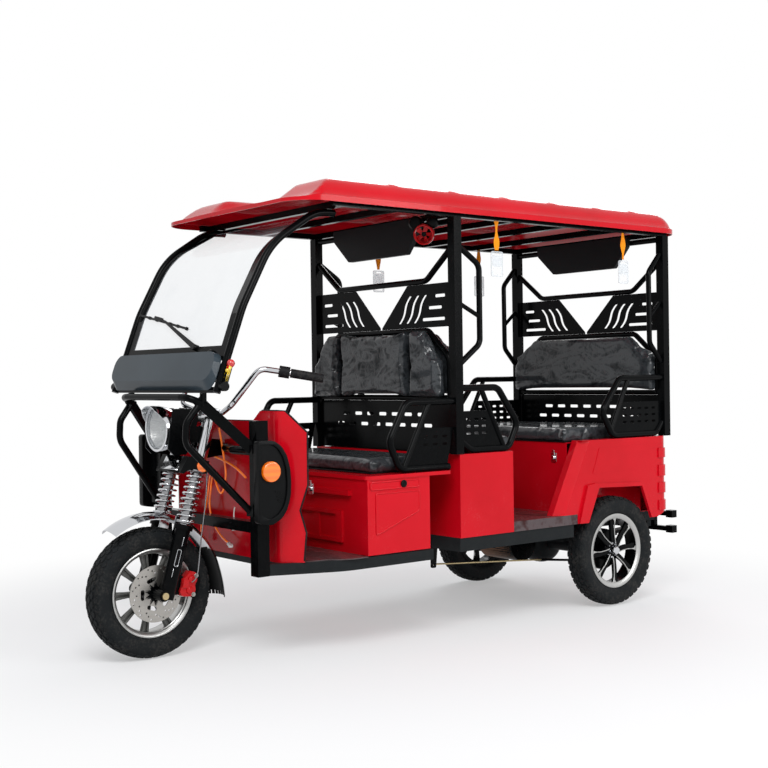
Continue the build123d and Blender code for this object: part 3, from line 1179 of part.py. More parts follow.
def roof_form(inset):
    """The canopy's outer form, drawn smaller by the inset for its inner face."""
    half = ROOF_HALF - inset
    lip = LIP_Z
    crown = CROWN_Z - inset
    section = make_face([
        Polyline((-half, lip), (half, lip), (half, lip + 22), (half - 12, lip + 58 - inset)),
        ThreePointArc((half - 12, lip + 58 - inset), (0, crown), (12 - half, lip + 58 - inset)),
        Polyline((12 - half, lip + 58 - inset), (-half, lip + 22), (-half, lip)),
    ])
    length = ROOF_FRONT - ROOF_REAR - 2 * inset
    section_plane = Plane(origin=(ROOF_REAR + inset, 0, 0), x_dir=(0, 1, 0), z_dir=(1, 0, 0))
    body = extrude(section_plane * section, length)
    side_view = [(ROOF_REAR + inset, lip - 5), (ROOF_FRONT - inset, lip - 5),
                 (ROOF_FRONT - inset, lip + 12 - inset / 2), (668, lip + 66 - inset),
                 (520, crown + 2), (-1180, crown + 2), (-1290, lip + 50 - inset),
                 (ROOF_REAR + inset, lip + 16 - inset / 2)]
    body = body & side_plate(side_view, -600, 600)
    plan = Pos((ROOF_REAR + ROOF_FRONT) / 2, 0, lip - 10) * extrude(
        RectangleRounded(length, 2 * half, 130 - inset), 200)
    return body & plan


roof = roof_form(0) - Pos(0, 0, -0.01) * roof_form(ROOF_SKIN)

rail_z0 = POST_TOP + SEAT_GAP
rail_z1 = rail_z0 + ROOF_TUBE
liner_z0 = rail_z1 + SEAT_GAP
liner = roof_form(ROOF_SKIN + SEAT_GAP) & block(ROOF_REAR, ROOF_FRONT, -600, 600, liner_z0,
                                                liner_z0 + SKIN)
node("roof_shell", roof, liner)
half_tube = ROOF_TUBE / 2
ROOF_RAIL_FRONT = 640
ROOF_RAIL_REAR = SEAT_ROW_X[1] - POST_SIZE / 2
roof_rail = block(ROOF_RAIL_REAR, ROOF_RAIL_FRONT, POST_Y - half_tube, POST_Y + half_tube,
                  rail_z0, rail_z1)
CROSS_X = (590, 330, SEAT_ROW_X[0], -300, -620, -940, SEAT_ROW_X[1])
cross_reach = POST_Y - half_tube - SEAT_GAP
cross_tubes = [block(x - half_tube, x + half_tube, -cross_reach, cross_reach, rail_z0, rail_z1)
               for x in CROSS_X]
node("roof_rails", both_sides(roof_rail), cross_tubes)

panels = []
for x in SEAT_ROW_X:
    outline = [(-300, 1690), (300, 1690), (296, 1640), (215, 1545), (-185, 1545), (-290, 1640)]
    front = x + half_tube + SEAT_GAP
    panels.append(front_plate(outline, front, front + 22, 12))
node("ceiling_panels", panels)

# ---------------------------------------------------------------- hanging hand straps
STRAP = (26, 2.4)
strap_places = [(-200, POST_Y), (-985, POST_Y), (-330, -POST_Y), (-985, -POST_Y)]
webs = []
frames = []
for x, y in strap_places:
    web_top = POST_TOP
    webs.append(block(x - STRAP[0] / 2, x + STRAP[0] / 2, y - 1.2, y + 1.2, 1549 + SEAT_GAP, web_top))
    card_plane = Plane(origin=(x, y + 3, 1497), x_dir=(1, 0, 0), z_dir=(0, -1, 0))
    card = extrude(card_plane * RectangleRounded(66, 104, 12), 6)
    window = extrude(card_plane * RectangleRounded(46, 78, 6), 6)
    frames.append(card - window)
node("hand_straps", webs, frames)

# ---------------------------------------------------------------- rear axle and springs
AXLE_TUBE = 64
axle_end = TRACK / 2 - REAR_RIM_HUB / 2 - 38 - 5
stub_end = TRACK / 2 + REAR_RIM_HUB / 2 - 1
axle_tube = axle_disc(REAR_AXLE_X, -axle_end, axle_end, TYRE_RADIUS, AXLE_TUBE / 2)
stub = axle_disc(REAR_AXLE_X, -stub_end, stub_end, TYRE_RADIUS, REAR_STUB)
housing_line = [
    Spline((-78, 40), (-60, 84), (0, 100), (60, 84), (78, 40)),
    Polyline((78, 40), (78, 0), (-78, 0), (-78, 40)),
]
housing = spun(housing_line, REAR_AXLE_X, 0, TYRE_RADIUS)
node("rear_axle", axle_tube + stub + housing)
motor_x = REAR_AXLE_X + 182
motor = axle_disc(motor_x, -150, 70, TYRE_RADIUS + 6, 78)
motor_arm = block(REAR_AXLE_X + 60, motor_x, -30, 30, TYRE_RADIUS - 40, TYRE_RADIUS + 46)
motor = motor + motor_arm - axle_disc(REAR_AXLE_X, -80, 80, TYRE_RADIUS, 100 + SEAT_GAP)
node("drive_motor", motor.solids().sort_by(SortBy.VOLUME)[-1])

LEAF = 7
SPRING_REACH = 400
SPRING_RISE = 20
leaf_top = TYRE_RADIUS + AXLE_TUBE / 2 + 4 + 3 * (LEAF + SEAT_GAP)
curve_radius = (SPRING_REACH ** 2 + SPRING_RISE ** 2) / (2 * SPRING_RISE)
leaves = []
for index in range(3):
    reach = SPRING_REACH - 110 * index
    outer = curve_radius + index * (LEAF + SEAT_GAP)
    inner = outer + LEAF
    centre_z = leaf_top + curve_radius
    angle = atan2(reach, curve_radius)
    def on_arc(radius, turn):
        return (radius * sin(turn), centre_z - radius * cos(turn))
    outline = [
        ThreePointArc(on_arc(outer, -angle), on_arc(outer, 0), on_arc(outer, angle)),
        Line(on_arc(outer, angle), on_arc(inner, angle)),
        ThreePointArc(on_arc(inner, angle), on_arc(inner, 0), on_arc(inner, -angle)),
        Line(on_arc(inner, -angle), on_arc(outer, -angle)),
    ]
    plane = Plane(origin=(REAR_AXLE_X, AXLE_RAIL_Y + 25, 0), x_dir=(1, 0, 0), z_dir=(0, -1, 0))
    leaves.append(extrude(plane * make_face(outline), 50))
leaf_end = (curve_radius + LEAF) * sin(atan2(SPRING_REACH, curve_radius))
hangers = []
for end in (-1, 1):
    x0, x1 = sorted((REAR_AXLE_X + end * (leaf_end + SEAT_GAP),
                     REAR_AXLE_X + end * (leaf_end + 26)))
    z = leaf_top + SPRING_RISE - LEAF / 2
    for side in (1, -1):
        y0, y1 = sorted((side * (AXLE_RAIL_Y - 25), side * (AXLE_RAIL_Y + 25)))
        hangers.append(block(x0, x1, y0, y1, z - 12, RAIL_BOTTOM - SEAT_GAP))
saddles = []
for side in (1, -1):
    y0, y1 = sorted((side * (AXLE_RAIL_Y - 30), side * (AXLE_RAIL_Y + 30)))
    pad = block(REAR_AXLE_X - 45, REAR_AXLE_X + 45, y0, y1, TYRE_RADIUS - 10,
                TYRE_RADIUS + AXLE_TUBE / 2 + 4)
    saddles.append(pad - axle_disc(REAR_AXLE_X, -400, 400, TYRE_RADIUS, AXLE_TUBE / 2 + SEAT_GAP))
saddles = [saddle.solids().sort_by(SortBy.VOLUME)[-1] for saddle in saddles]
node("leaf_springs", *[both_sides(leaf) for leaf in leaves], hangers, saddles)

# ---------------------------------------------------------------- rear bumper and lamps
BUMPER_HALF = 425
bumper = None
for z in (368, 296):
    bar = block(-1398, -1376, -BUMPER_HALF, BUMPER_HALF, z - 11, z + 11)
    for side in (1, -1):
        y0, y1 = sorted((side * (BUMPER_HALF - 35), side * (BUMPER_HALF + 2)))
        bar = bar + block(-1405, -1370, y0, y1, z - 17, z + 17)
    bumper = bar if bumper is None else bumper + bar
for side in (1, -1):
    y0, y1 = sorted((side * (AXLE_RAIL_Y - 20), side * (AXLE_RAIL_Y + 20)))
    bumper = bumper + block(-1394, AXLE_RAIL_REAR - SEAT_GAP, y0, y1, 285, 385)
node("rear_bumper", bumper)
tail_lamps = []
for side in (1, -1):
    plane = Plane(origin=(BODY_REAR - SEAT_GAP, side * 362, 600), x_dir=(0, 1, 0),
                  z_dir=(-1, 0, 0))
    tail_lamps.append(extrude(plane * RectangleRounded(110, 70, 14), 26))
node("tail_lamps", tail_lamps)

# ---------------------------------------------------------------- brake pedal
pedal_y = -150
pedal = round_tube([(560, pedal_y, FOOTBOARD_Z + 12), (640, pedal_y, FOOTBOARD_Z + 30),
                    (680, pedal_y, FOOTBOARD_Z + 80)], 12, 20)
pad = square_bar((672, pedal_y, FOOTBOARD_Z + 86), (694, pedal_y, FOOTBOARD_Z + 80), 60, 34)
foot = block(545, 575, pedal_y - 20, pedal_y + 20, FOOTBOARD_Z + 4 + SEAT_GAP, FOOTBOARD_Z + 22)
node("brake_pedal", pedal + pad + foot)
print("nodes:", len(SOLIDS), "solids:", sum(len(s) for s in SOLIDS.values()))
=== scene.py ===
# %% [markdown]
# # An electric passenger tricycle
# The vehicle was engineered first: every tube, panel and wheel comes in as a node of a packed
# model, in metres, with +X forward and +Z up. This notebook gives those nodes their finishes,
# replaces the plain ones with detailed pieces, and sets a camera and plain studio light.
# %% Load the frame
import json
import math

import bmesh
import bpy
from mathutils import Matrix, Vector


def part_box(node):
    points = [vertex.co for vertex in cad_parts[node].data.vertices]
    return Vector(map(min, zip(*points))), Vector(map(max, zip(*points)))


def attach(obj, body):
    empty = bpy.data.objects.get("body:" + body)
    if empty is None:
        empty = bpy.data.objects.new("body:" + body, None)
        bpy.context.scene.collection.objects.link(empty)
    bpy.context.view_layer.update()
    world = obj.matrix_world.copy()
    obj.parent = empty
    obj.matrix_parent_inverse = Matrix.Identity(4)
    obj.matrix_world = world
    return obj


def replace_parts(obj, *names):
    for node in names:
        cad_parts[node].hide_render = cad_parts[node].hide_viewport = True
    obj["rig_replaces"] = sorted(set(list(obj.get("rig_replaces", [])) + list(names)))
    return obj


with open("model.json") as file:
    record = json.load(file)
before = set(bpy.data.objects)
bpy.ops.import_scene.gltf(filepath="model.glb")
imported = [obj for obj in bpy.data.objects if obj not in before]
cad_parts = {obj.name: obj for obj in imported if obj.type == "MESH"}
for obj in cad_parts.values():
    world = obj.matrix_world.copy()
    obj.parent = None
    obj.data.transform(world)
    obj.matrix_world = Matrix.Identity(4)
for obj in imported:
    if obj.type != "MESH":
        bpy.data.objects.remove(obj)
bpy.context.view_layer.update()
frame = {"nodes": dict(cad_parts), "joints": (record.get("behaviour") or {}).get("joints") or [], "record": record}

nodes = frame["nodes"]
bpy.ops.object.select_all(action="DESELECT")

# %% [markdown]
# The camera stands at eye height off the left front corner, with a long lens, so that the
# upright posts stay nearly parallel. Its axes are written as a matrix, because a small roll
# is easier to give that way than with angles.
# %% Camera
CAMERA_PLACE = Vector((3.3168, 4.1620, 1.0338))
CAMERA_TURN = 0.6693
CAMERA_PITCH = -0.0049
CAMERA_ROLL = -0.014
level_forward = Vector((-math.sin(CAMERA_TURN), -math.cos(CAMERA_TURN), 0))
level_right = Vector((-math.cos(CAMERA_TURN), math.sin(CAMERA_TURN), 0))
upright = Vector((0, 0, 1))
forward = level_forward * math.cos(CAMERA_PITCH) + upright * math.sin(CAMERA_PITCH)
head = upright * math.cos(CAMERA_PITCH) - level_forward * math.sin(CAMERA_PITCH)
right = level_right * math.cos(CAMERA_ROLL) + head * math.sin(CAMERA_ROLL)
top = head * math.cos(CAMERA_ROLL) - level_right * math.sin(CAMERA_ROLL)
lens_data = bpy.data.cameras.new("camera")
lens_data.lens = 57.66
lens_data.sensor_width = 36
camera = bpy.data.objects.new("camera", lens_data)
bpy.context.scene.collection.objects.link(camera)
camera.matrix_world = Matrix((
    (right.x, top.x, -forward.x, CAMERA_PLACE.x),
    (right.y, top.y, -forward.y, CAMERA_PLACE.y),
    (right.z, top.z, -forward.z, CAMERA_PLACE.z),
    (0, 0, 0, 1)))
bpy.context.scene.camera = camera
bpy.context.scene.view_settings.view_transform = "Standard"
print("lens:", lens_data.lens, "mm")

# %% [markdown]
# Shader sums are easier to read as Python. `Value` holds a socket and overloads the
# operators, each adding one Math node, and `Paint` adds any other node in one call.
# %% Shader helpers
class Value:
    """A number in a shader that Python can do sums with."""

    def __init__(self, paint, socket):
        self.paint, self.socket = paint, socket

    def sum(self, operation, *others, clamp=False):
        made = self.paint.tree.nodes.new("ShaderNodeMath")
        made.operation, made.use_clamp = operation, clamp
        for place, item in zip(made.inputs, others):
            self.paint.give(place, item)
        return Value(self.paint, made.outputs[0])

    def __add__(self, other): return self.sum("ADD", self, other)
    def __radd__(self, other): return self.sum("ADD", other, self)
    def __sub__(self, other): return self.sum("SUBTRACT", self, other)
    def __rsub__(self, other): return self.sum("SUBTRACT", other, self)
    def __mul__(self, other): return self.sum("MULTIPLY", self, other)
    def __rmul__(self, other): return self.sum("MULTIPLY", other, self)
    def __pow__(self, other): return self.sum("POWER", self, other)
    def __abs__(self): return self.sum("ABSOLUTE", self)
    def clamped(self): return self.sum("ADD", self, 0.0, clamp=True)
    def sine(self): return self.sum("SINE", self)
    def least(self, other): return self.sum("MINIMUM", self, other)
    def most(self, other): return self.sum("MAXIMUM", self, other)

    def ramp(self, start, end):
        """0 below start, 1 above end, smooth between."""
        made = self.paint.node("MapRange", {"interpolation_type": "SMOOTHSTEP"},
                               {"Value": self, "From Min": start, "From Max": end})
        return Value(self.paint, made.outputs["Result"])


class Paint:
    """One material and the calls that add its nodes."""

    def __init__(self, name):
        self.material = bpy.data.materials.new(name)
        self.material.use_nodes = True
        self.tree = self.material.node_tree
        self.shader = self.tree.nodes["Principled BSDF"]

    def give(self, place, item):
        if isinstance(item, Value):
            item = item.socket
        if isinstance(item, bpy.types.NodeSocket):
            self.tree.links.new(item, place)
        else:
            place.default_value = item

    def node(self, kind, settings=None, values=None):
        made = self.tree.nodes.new("ShaderNode" + kind)
        for name, setting in (settings or {}).items():
            setattr(made, name, setting)
        for name, item in (values or {}).items():
            self.give(made.inputs[name], item)
        return made

    def place(self, axis=None):
        """Where a point is on the vehicle, in metres."""
        where = self.node("TexCoord").outputs["Object"]
        if axis is None:
            return where
        apart = self.node("SeparateXYZ", None, {"Vector": where})
        return Value(self, apart.outputs[axis])

    def stretched(self, scale):
        made = self.node("VectorMath", {"operation": "MULTIPLY"})
        self.give(made.inputs[0], self.place())
        made.inputs[1].default_value = scale
        return made.outputs[0]

    def noise(self, scale, detail=2.0, rough=0.5, where=None, distortion=0.0):
        made = self.node("TexNoise", None, {
            "Vector": where or self.place(), "Scale": scale, "Detail": detail,
            "Roughness": rough, "Distortion": distortion})
        return Value(self, made.outputs["Fac"])

    def cells(self, scale, feature="F1"):
        made = self.node("TexVoronoi", {"feature": feature},
                         {"Vector": self.place(), "Scale": scale, "Randomness": 1.0})
        return Value(self, made.outputs["Distance"])

    def mixed(self, share, first, second):
        """A colour between two colours."""
        made = self.node("Mix", {"data_type": "RGBA"})
        self.give(made.inputs["Factor"], share)
        for place, item in ((made.inputs[6], first), (made.inputs[7], second)):
            self.give(place, (*item, 1) if isinstance(item, tuple) and len(item) == 3 else item)
        return made.outputs[2]

    def bump(self, height, distance, strength=1.0, normal=None):
        made = self.node("Bump", None, {"Height": height, "Distance": distance,
                                        "Strength": strength})
        if normal is not None:
            self.give(made.inputs["Normal"], normal)
        return made.outputs["Normal"]

    def set(self, **values):
        for name, item in values.items():
            name = name.replace("_", " ")
            if name == "Base Color" and isinstance(item, tuple) and len(item) == 3:
                item = (*item, 1)
            self.give(self.shader.inputs[name], item)
        return self.material


print("helpers ready")

# %% [markdown]
# The stage is a large pale floor and a white world. Far from the vehicle the floor turns into
# plain white light for the camera only, so no horizon shows, while near the wheels it stays a
# real surface that takes their shadow.
# %% Stage
def eye_only(paint, light, surface):
    """The light for straight, mirrored and refracted looks, the surface for everything else."""
    looks = paint.node("LightPath").outputs
    seen = Value(paint, looks["Is Camera Ray"]).most(Value(paint, looks["Is Glossy Ray"]))
    seen = seen.most(Value(paint, looks["Is Transmission Ray"]))
    return paint.node("MixShader", None, {0: seen, 1: surface, 2: light}).outputs[0]


world = bpy.data.worlds.new("studio")
world.use_nodes = True
bpy.context.scene.world = world
sky = Paint.__new__(Paint)
sky.tree = world.node_tree
room = world.node_tree.nodes["Background"]
room.inputs["Color"].default_value = (0.93, 0.96, 1.0, 1)
room.inputs["Strength"].default_value = 0.45
white = sky.node("Background", None, {"Color": (1, 1, 1, 1), "Strength": 1.0})
world_mix = eye_only(sky, white.outputs[0], room.outputs[0])
sky.tree.links.new(world_mix, world.node_tree.nodes["World Output"].inputs["Surface"])

bpy.ops.mesh.primitive_circle_add(vertices=96, radius=30, fill_type="NGON",
                                  location=(0, 0, 0))
floor = bpy.context.object
floor.name = "studio_floor"
floor_paint = Paint("studio_floor")
floor_paint.set(Base_Color=(0.86, 0.86, 0.87), Roughness=0.9, Specular_IOR_Level=0.1)
reach = floor_paint.node("VectorMath", {"operation": "LENGTH"},
                         {"Vector": floor_paint.place()}).outputs["Value"]
far = Value(floor_paint, reach).ramp(1.2, 2.9) * 0.62 + 0.38
glow = floor_paint.node("Emission", None, {"Color": (1, 1, 1, 1), "Strength": 1.0})
lit = eye_only(floor_paint, glow.outputs[0], floor_paint.shader.outputs[0])
blend = floor_paint.node("MixShader", None,
                         {0: far, 1: floor_paint.shader.outputs[0], 2: lit})
floor_paint.tree.links.new(blend.outputs[0],
                           floor_paint.tree.nodes["Material Output"].inputs["Surface"])
floor.data.materials.append(floor_paint.material)
print("floor is", round(floor.dimensions.x), "m across")

# %% [markdown]
# Three large soft lamps: one high and ahead of the camera side, one low along the near side
# for the panels, and one behind for the edges of the roof.
# %% Lamps
def lamp(name, place, target, size, power):
    data = bpy.data.lights.new(name, "AREA")
    data.shape, data.size, data.size_y = "RECTANGLE", size[0], size[1]
    data.energy = power
    made = bpy.data.objects.new(name, data)
    bpy.context.scene.collection.objects.link(made)
    made.location = place
    made.rotation_euler = (Vector(target) - Vector(place)).to_track_quat("-Z", "Y").to_euler()
    made.visible_camera = False
    return made


lamp("key", (3.2, 3.4, 4.6), (0, 0, 0.8), (3.0, 2.2), 210)
lamp("side", (-1.6, 5.0, 2.2), (-0.3, 0, 0.9), (3.6, 1.6), 110)
lamp("back", (-3.5, -2.6, 3.8), (0, 0, 1.0), (3.0, 2.0), 90)

# %% [markdown]
# # Finishes
# Paint on pressed steel is a smooth colour coat under clear lacquer. What gives it away as
# paint is the faint orange peel in the lacquer, a little dust that settles near the ground,
# and fingerprints that change how sharply it mirrors.
# %% Gloss paint
def gloss_paint(name, colour, dark, peel=0.00012):
    paint = Paint(name)
    cloud = paint.noise(2.3, 4, 0.55)
    smudge = paint.noise(26, 5, 0.6)
    low = 1 - paint.place("Z").ramp(0.3, 0.75)
    dust = (paint.noise(140, 3, 0.7) * paint.noise(9, 3, 0.6)).ramp(0.26, 0.5) * low
    tint = paint.mixed(cloud.ramp(0.35, 0.65), dark, colour)
    tint = paint.mixed(dust * 0.07, tint, (0.3, 0.2, 0.18))
    skin = paint.bump(paint.noise(420, 1.5, 0.4), peel)
    wave = paint.bump(paint.noise(7, 2, 0.4), 0.0006, normal=skin)
    return paint.set(Base_Color=tint, Roughness=0.14 + smudge * 0.1 + dust * 0.2,
                     Specular_IOR_Level=0.1, Coat_Weight=0.16 - dust * 0.08,
                     Coat_Roughness=0.03, Normal=wave)


RED = (0.56, 0.0025, 0.011)
RED_SHADE = (0.49, 0.002, 0.008)
red_paint = gloss_paint("gloss_red", RED, RED_SHADE)
grey_paint = gloss_paint("slate_grey", (0.036, 0.05, 0.062), (0.03, 0.042, 0.052))

# %% [markdown]
# Frame tubes are sprayed satin black over steel. The coat is thicker and softer than body
# paint, with a fine grain, and it dulls where hands and shoes pass.
# %% Satin black and chassis paint
def satin_paint(name, colour, rough, grain=0.00006, dusty=0.3, shine=0.07):
    paint = Paint(name)
    fine = paint.noise(900, 2, 0.6)
    patch = paint.noise(11, 4, 0.6)
    low = 1 - paint.place("Z").ramp(0.28, 0.6)
    dust = paint.noise(55, 4, 0.7).ramp(0.45, 0.75) * (0.25 + low * dusty)
    pale = tuple(min(1.0, c * 1.4 + 0.001) for c in colour)
    tint = paint.mixed(patch.ramp(0.3, 0.8) * 0.35, colour, pale)
    tint = paint.mixed(dust * 0.05, tint, (0.1, 0.09, 0.08))
    return paint.set(Base_Color=tint, Roughness=rough + patch * 0.1 + dust * 0.12,
                     Specular_IOR_Level=shine, Normal=paint.bump(fine, grain))


black_paint = satin_paint("satin_black", (0.0015, 0.0018, 0.0021), 0.13, shine=0.055)
chassis_paint = satin_paint("chassis_grey", (0.012, 0.014, 0.015), 0.36, dusty=0.7)
silver_paint = satin_paint("silver_grey", (0.4, 0.4, 0.39), 0.26, shine=0.5)
spoke_grey = satin_paint("spoke_grey", (0.075, 0.075, 0.07), 0.34, shine=0.4)
motor_brown = satin_paint("motor_varnish", (0.2, 0.085, 0.035), 0.4, shine=0.3)

# %% [markdown]
# Chrome is a mirror, so its look comes from the room. Small smears in its roughness keep it
# from looking computed. Machined steel and alloy carry fine turning lines instead.
# %% Chrome, steel and alloy
def mirror_metal(name, colour, rough, smear=0.1):
    paint = Paint(name)
    film = paint.noise(34, 5, 0.65)
    spots = paint.noise(260, 2, 0.5).ramp(0.62, 0.75)
    tint = paint.mixed(film * 0.25, colour, tuple(c * 0.82 for c in colour))
    return paint.set(Base_Color=tint, Metallic=1.0,
                     Roughness=rough + film * smear + spots * 0.08,
                     Normal=paint.bump(paint.noise(60, 2, 0.4), 0.00008))


def turned_metal(name, colour, rough, lines=1500.0):
    paint = Paint(name)
    grooves = paint.noise(lines, 1, 0.5, where=paint.stretched((1, 0.02, 1)))
    patch = paint.noise(18, 4, 0.6)
    tint = paint.mixed(patch * 0.5, colour, tuple(c * 0.7 for c in colour))
    return paint.set(Base_Color=tint, Metallic=1.0, Roughness=rough + grooves * 0.18,
                     Normal=paint.bump(grooves, 0.00004))


chrome = mirror_metal("chrome", (0.6, 0.61, 0.63), 0.05)
dull_chrome = mirror_metal("dull_chrome", (0.3, 0.3, 0.31), 0.16)
steel = turned_metal("bright_steel", (0.4, 0.385, 0.36), 0.28)
alloy = turned_metal("machined_alloy", (0.5, 0.5, 0.49), 0.26)
brass = turned_metal("passivated_zinc", (0.5, 0.4, 0.22), 0.3)
caliper_paint = gloss_paint("caliper_red", (0.5, 0.01, 0.012), (0.4, 0.008, 0.01))

# %% [markdown]
# Moulded plastic has a pebbled grain from its tool. Rubber is duller still, and picks up
# pale dust in its texture.
# %% Plastic and rubber
def grained_plastic(name, colour, rough, grain=420.0, depth=0.00014):
    paint = Paint(name)
    pebble = paint.cells(grain, "SMOOTH_F1")
    patch = paint.noise(14, 4, 0.6)
    tint = paint.mixed(patch * 0.4, colour, tuple(min(1, c * 1.5 + 0.002) for c in colour))
    return paint.set(Base_Color=tint, Roughness=rough + patch * 0.15,
                     Specular_IOR_Level=0.08, Normal=paint.bump(pebble, depth))


def rubber(name, colour, rough=0.62):
    paint = Paint(name)
    fine = paint.noise(650, 3, 0.65)
    dust = (paint.noise(16, 5, 0.65) * paint.noise(120, 3, 0.6)).ramp(0.2, 0.42)
    tint = paint.mixed(dust * 0.22, colour, (0.11, 0.1, 0.09))
    return paint.set(Base_Color=tint, Roughness=rough + dust * 0.2 + fine * 0.06,
                     Specular_IOR_Level=0.12, Normal=paint.bump(fine, 0.00008))


black_plastic = grained_plastic("black_plastic", (0.0022, 0.0025, 0.0028), 0.24)
connector_white = grained_plastic("connector_white", (0.72, 0.72, 0.69), 0.45)
ceiling_vinyl = grained_plastic("ceiling_vinyl", (0.012, 0.013, 0.014), 0.4, 160, 0.0003)
tyre_rubber = rubber("tyre_rubber", (0.007, 0.0085, 0.0095))
soft_rubber = rubber("soft_rubber", (0.006, 0.006, 0.007), 0.5)

# %% [markdown]
# The seats are black leatherette still under the clear film that they were delivered in. The
# film is what shows: a sharp gloss broken up by creases, over the soft grain below. The pale
# streaks along the creases are painted highlights of the film's folds.
# %% Leatherette under film
def filmed(name, colour, deep, grain, crease_scale, crease_depth):
    paint = Paint(name)
    pebble = paint.cells(grain, "SMOOTH_F1")
    long_way = paint.noise(crease_scale, 3, 0.55, where=paint.stretched((1, 0.35, 0.8)),
                           distortion=1.3)
    cross_way = paint.noise(crease_scale * 1.7, 3, 0.6, where=paint.stretched((0.5, 1, 1)),
                            distortion=0.9)
    creases = (1 - abs(long_way * 2 - 1)) ** 5 + ((1 - abs(cross_way * 2 - 1)) ** 6) * 0.6
    tint = paint.mixed(paint.noise(6, 3, 0.5), deep, colour)
    # Painted highlight: the creases are mixed towards pale blue-grey to stand in for light caught in the film's
    # folds, on the seats and the floor covering alike.
    tint = paint.mixed(creases.clamped() * 0.085, tint, (0.4, 0.44, 0.48))
    grained = paint.bump(pebble, 0.00015)
    folded = paint.bump(creases, crease_depth, normal=grained)
    return paint.set(Base_Color=tint, Roughness=0.26 + paint.noise(30, 3, 0.6) * 0.18,
                     Specular_IOR_Level=0.04,
                     Coat_Weight=0.02 + creases.clamped() * 0.7, Coat_Roughness=0.07,
                     Normal=folded)


leatherette = filmed("black_leatherette", (0.005, 0.007, 0.0085), (0.0022, 0.0032, 0.0042),
                     700, 14, 0.0014)
floor_film = filmed("floor_covering", (0.05, 0.016, 0.015), (0.03, 0.009, 0.009), 300, 9, 0.0014)

# %% [markdown]
# Lamps and glass. A coloured lamp lens is a thin clear moulding over a bright reflector, so
# it is painted as a saturated gloss plastic with a ribbed inside, and the reflector's light is
# painted on as a faint glow. The windshield is nearly clear, so most of it is let through and
# only the mirror layer is seen.
# %% Lamps and glass
def lamp_lens(name, colour, ribs=260.0, glow=0.05):
    paint = Paint(name)
    rows = (paint.place("Z") * ribs).sine() * 0.5 + 0.5
    tint = paint.mixed(rows * 0.5, colour, tuple(c * 0.45 for c in colour))
    # The emission at `glow` strength is painted light: a glow that stands in for the reflector's brightness behind
    # the lens.
    return paint.set(Base_Color=tint, Roughness=0.12 + rows * 0.08, Coat_Weight=1.0,
                     Coat_Roughness=0.03, Emission_Color=tint, Emission_Strength=glow,
                     Normal=paint.bump(rows, 0.0006))


def clear_sheet(name, colour, alpha):
    paint = Paint(name)
    haze = paint.noise(4, 4, 0.6).ramp(0.4, 0.8)
    return paint.set(Base_Color=colour, Roughness=0.03 + haze * 0.04,
                     Alpha=alpha + haze * 0.04, Specular_IOR_Level=0.8)


amber_lens = lamp_lens("amber_lens", (0.95, 0.17, 0.002), glow=0.25)
red_lens = lamp_lens("red_lens", (0.62, 0.008, 0.01), glow=0.08)
yellow_lens = lamp_lens("yellow_lens", (0.9, 0.6, 0.01), glow=0.1)
windshield_clear = clear_sheet("windshield_glass", (0.62, 0.68, 0.72), 0.14)
headlight_clear = clear_sheet("headlight_glass", (0.85, 0.88, 0.9), 0.16)
card_clear = clear_sheet("card_plastic", (0.8, 0.84, 0.87), 0.3)
strap_web = grained_plastic("strap_web", (0.85, 0.25, 0.01), 0.6, 900, 0.0003)
# The sleeves' glow is painted light: it brightens the wires where they hang in the leg shield's shade.
orange_sleeve = lamp_lens("orange_sleeve", (1.0, 0.18, 0.004), ribs=90.0, glow=0.35)
print("finishes:", len(bpy.data.materials))

# %% [markdown]
# # Finishing the engineered nodes
# A node that already has the right shape only needs its finish. Where one node holds pieces
# of different materials, faces are picked by where they are.
# %% One finish for each node
def finish_node(name, paint_material):
    node = nodes[name]
    node.data.materials.clear()
    node.data.materials.append(paint_material)
    return node


def finish_where(name, test, paint_material):
    """Gives another finish to the faces whose middle passes the test."""
    node = nodes[name]
    node.data.materials.append(paint_material)
    for face in node.data.polygons:
        if test(face.center):
            face.material_index = len(node.data.materials) - 1


FINISHES = {
    "tyre_rubber": tyre_rubber, "rim_alloy": alloy, "bright_steel": steel,
    "chassis_paint": chassis_paint, "black_frame_paint": black_paint,
    "polished_chrome": chrome, "soft_rubber": soft_rubber, "clear_glass": windshield_clear,
    "fork_silver": silver_paint, "amber_lens": amber_lens, "caliper_red": caliper_paint,
    "apron_grey": grey_paint, "gloss_red_paint": red_paint, "black_plastic": black_plastic,
    "floor_cover": floor_film, "black_leatherette": leatherette, "red_lens": red_lens,
    "motor_casting": motor_brown, "strap_webbing": strap_web,
}
for part in frame["record"]["subparts"]:
    finish_node(part["node"], FINISHES[part["material_slot"]])
finish_node("headlight_lens", headlight_clear)
finish_node("ceiling_panels", ceiling_vinyl)


AXLE = Vector((1.16, 0, 0.245))
WHEELBASE, WHEEL_Y = 2.075, 0.44


def from_axle(point):
    """How far a point is from the front axle."""
    return math.hypot(point.x - AXLE.x, point.z - AXLE.z)


finish_where("drive_motor", lambda p: p.y > -0.02, black_paint)
finish_where("brake_disc", lambda p: from_axle(p) < 0.034, black_paint)
finish_where("marker_lamps", lambda p: p.z < 1.079 and p.x < 1.0535 or p.z < 1.0595,
             black_plastic)
finish_where("marker_lamps", lambda p: p.x > 1.0535 and 1.0595 < p.z < 1.0765, yellow_lens)
finish_where("front_fender", lambda p: p.x < 0.94 and p.z < 0.385, black_plastic)
finish_where("fork", lambda p: p.z < 0.262 and abs(p.y) > 0.095, brass)

